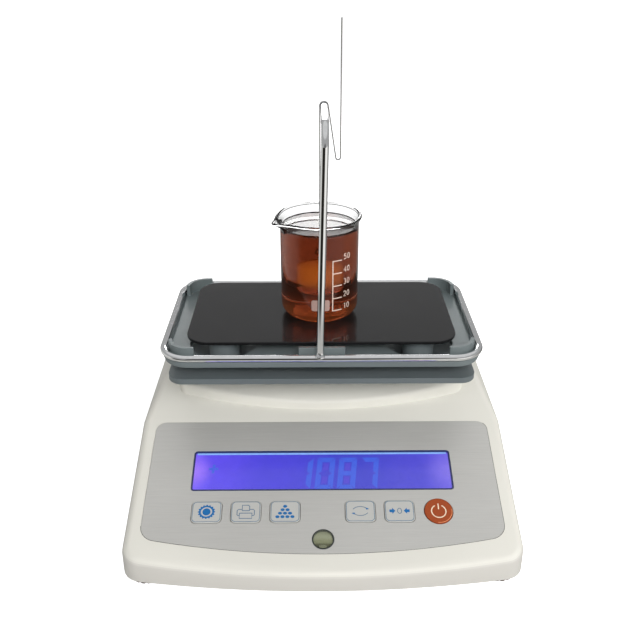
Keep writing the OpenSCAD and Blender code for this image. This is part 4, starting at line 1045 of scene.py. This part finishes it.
def level():
    at = slope_at(0, LEVEL_V)

    def turned(name, profile, slot, material, steps=72, matrix=at):
        return lathe(profile, name, "housing", slot, material, steps=steps, matrix=matrix)

    cup = turned("level_ring", [(0, -7.3), (6.0, -7.3), (6.0, 0.05), (5.85, 0.2), (5.45, 0.2),
        (5.3, 0.05), (5.3, -1.5), (0, -1.5)], "black_plastic", LEVEL_RING)
    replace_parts(cup, "level_cup")
    turned("level_disc", [(0, -1.5), (5.3, -1.5), (5.3, -1.2), (0, -1.2)], "level_liquid",
        LEVEL_DISC)
    lid = turned("level_window", [(0, -0.45), (5.28, -0.45), (5.28, -0.1), (4.9, 0.02),
        (2.5, 0.1), (0, 0.13)], "level_liquid", COVER)
    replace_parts(lid, "level_vial")
    oval = Matrix.Translation((-0.1 * MM, -3.4 * MM, 0)) @ Matrix.Diagonal((1.25, 0.62, 1, 1))
    turned("level_bubble", [(0, -1.16), (1.5, -1.16), (1.75, -1.05), (1.5, -0.9), (0.9, -0.82),
        (0, -0.8)], "level_liquid", LEVEL_BUBBLE, 40, at @ oval)


level()


# ---------------------------------------------------------------- sockets at the back

def sockets():
    def pin(name, x, y, z, step, count, r, slot, material, sides):
        tube(name, [(x, y + step * k, z) for k in range(count)], r, "housing", slot, material,
            sides)

    pin("power_pin", JACK_X, 102.2, PORT_Z, 0.9, 10, 1.05, "steel_screws", ZINC, 20)
    for count, dz in ((5, 1.42), (4, -1.42)):
        for k in range(count):
            pin("serial_pin_%d_%d" % (count, k), SERIAL_X + (k - (count - 1) / 2) * 2.77, 106.9,
                PORT_Z + dz, 0.6, 8, 0.5, "insert_brass", CONTACT, 12)
    for side, x in (("left", SERIAL_X - 12.5), ("right", SERIAL_X + 12.5)):
        lathe([(0, 0), (2.7, 0), (2.7, 1.7), (2.4, 2.0), (1.5, 2.0), (1.5, 0.6), (0, 0.6)],
            "serial_nut_" + side, "housing", "steel_screws", ZINC, steps=6, angle=25,
            matrix=Matrix.Translation(Vector((x, REAR_Y - 2.0, PORT_Z)) * MM)
            @ Matrix.Rotation(math.radians(-90), 4, 'X'))


sockets()


# ---------------------------------------------------------------- floor, lights, world, camera

# What mirrors see on the floor, by the direction round the mast: a full turn is 0 to 1.
BENCH = [(0.0, (0.62, 0.61, 0.58)), (0.035, (0.75, 0.74, 0.70)), (0.075, (0.02, 0.018, 0.015)),
    (0.272, (0.02, 0.018, 0.015)), (0.305, (1.0, 0.98, 0.94)), (0.43, (1.0, 0.98, 0.94)),
    (0.49, (0.42, 0.41, 0.39)), (0.60, (0.10, 0.10, 0.10)), (0.70, (0.45, 0.45, 0.44)),
    (0.82, (0.16, 0.16, 0.16)), (0.90, (0.70, 0.70, 0.68))]
NEAR_BENCH = (0.50, 0.495, 0.47, 1.0)
DARK_BENCH = (0.02, 0.018, 0.015, 1.0)


def floor():
    """A pale sheet, lit by itself for the camera and less so through the glass. Mirrors see BENCH
    on it instead, or near the meter one plain tone. Cycles calls a ray that passes through glass
    glossy as well, so those rays are taken out of the mirrored ones."""
    bm = bmesh.new()
    bm.faces.new([bm.verts.new((x, y, 0)) for x, y in outline_box(-6.0, -6.0, 6.0, 6.0)])
    bm.normal_update()
    sheet = in_scene("studio_floor", mesh_from(bm, "studio_floor"))
    n = Nodes("studio_paper")
    path = n.outputs("ShaderNodeLightPath")
    passed = path["Is Transmission Ray"]
    turned = n.math('GREATER_THAN', path["Glossy Depth"], 0.5)
    through = n.times(passed, n.math('SUBTRACT', 1.0, turned))
    direct = n.math('MAXIMUM', path["Is Camera Ray"], n.times(through, 0.62))
    n.set(rough=0.9, specular=0.1, emit=WHITE,
        emit_strength=n.range(direct, 0.0, 1.0, 0.05, 1.0),
        color=n.ramp(n.noise(3.0, 2.0), [(0.3, (0.53, 0.53, 0.53)), (0.7, (0.56, 0.56, 0.56))]))
    around = n.node("ShaderNodeTexGradient", {"Vector": n.coord(offset=(0, -MAST_Y * MM, 0))},
        "Fac", gradient_type='RADIAL')
    x, y, z = n.split(n.coord())
    near = n.below(n.distance(x, y), 0.24, 0.34)
    look = n.mix(near, n.ramp(around, BENCH), NEAR_BENCH)
    bench = n.emission(n.mix(passed, look, DARK_BENCH))
    mirrored = n.math('SUBTRACT', path["Is Glossy Ray"], through)
    n.surface(n.mix_shader(mirrored, n.bsdf.outputs[0], bench))
    sheet.data.materials.append(n.mat)


ROOM, MIRROR, STRIP, OVERHEAD = 0.14, 0.40, 6.0, 0.26


def world():
    """White for the camera, also through glass, and a dim ROOM as light. Mirrors see MIRROR, with
    nearly black straight in front, OVERHEAD added high up, and a low bright STRIP at the back,
    which draws the highlight on the beaker and is weaker seen through its wall."""
    studio = bpy.data.worlds.new("studio")
    bpy.context.scene.world = studio
    n = Nodes("studio", studio)
    n.nodes.clear()
    path = n.outputs("ShaderNodeLightPath")
    passed = path["Is Transmission Ray"]
    turned = n.math('GREATER_THAN', path["Glossy Depth"], 0.5)
    few = n.math('LESS_THAN', path["Transmission Depth"], 2.5)
    bounced = n.times(passed, n.times(turned, few))
    seen = n.math('MAXIMUM', path["Is Camera Ray"], n.math('SUBTRACT', passed, bounced))
    mirrored = n.math('MAXIMUM', path["Is Glossy Ray"], bounced)

    x, y, z = n.split(n.outputs("ShaderNodeTexCoord")["Generated"])
    strip = n.times(n.below(z, 0.326, 0.340), n.range(y, 0.35, 0.60, smooth=True))
    strip = n.times(strip, n.below(n.math('ABSOLUTE', x), 0.16, 0.24))
    walled = n.math('SUBTRACT', n.math('GREATER_THAN', path["Transmission Depth"], 0.5), passed)
    strip = n.math('SUBTRACT', strip, n.times(n.times(walled, strip), 0.7))
    shine = n.math('ADD', n.range(strip, 0.0, 1.0, MIRROR, STRIP),
        n.range(z, 0.50, 0.68, 0.0, OVERHEAD, True))
    front = n.ramp(n.range(y, -0.985, -0.93, smooth=True), [(0.0, (0.03, 0.03, 0.03)),
        (1.0, WHITE)])

    def background(color, strength):
        return n.node("ShaderNodeBackground", {"Color": color, "Strength": strength})

    lit = n.mix_shader(mirrored, background(WHITE, ROOM), background(front, shine))
    n.out = n.nodes.new("ShaderNodeOutputWorld")
    n.surface(n.mix_shader(seen, lit, background(WHITE, 1.0)))


def soft_box(name, place, target, size, power):
    """An area light, of that size in metres and power in watts, that mirrors don't show."""
    light = bpy.data.lights.new(name, 'AREA')
    light.energy = power
    light.shape = 'RECTANGLE'
    light.size, light.size_y = size
    obj = in_scene(name, light)
    obj.location = place
    obj.visible_glossy = False
    aim = Vector(target) - Vector(place)
    obj.rotation_euler = aim.to_track_quat('-Z', 'Y').to_euler()


def camera():
    """The photograph's view: from in front, a little left of the middle, looking down."""
    data = bpy.data.cameras.new("view")
    data.lens, data.sensor_width = 46.84, 36.0
    data.clip_start = 0.01
    obj = in_scene("view", data)
    obj.location = (-0.0048, -0.4413, 0.3183)
    obj.rotation_euler = (math.radians(90 - 25.633), 0, math.radians(-0.522))
    bpy.context.scene.camera = obj


floor()
world()
soft_box("front_high", (0.15, -1.3, 0.96), (0, 0, 0.05), (1.2, 0.6), 19.6)
soft_box("left_box", (-1.1, -0.6, 0.6), (0, 0, 0.1), (0.9, 1.1), 0.8)
soft_box("right_box", (1.1, -0.5, 0.6), (0, 0, 0.1), (0.9, 1.1), 7.0)
soft_box("back_top", (0.0, 1.1, 0.8), (0, 0, 0.05), (1.2, 0.6), 9.0)
camera()
bpy.context.scene.view_settings.view_transform = 'Standard'
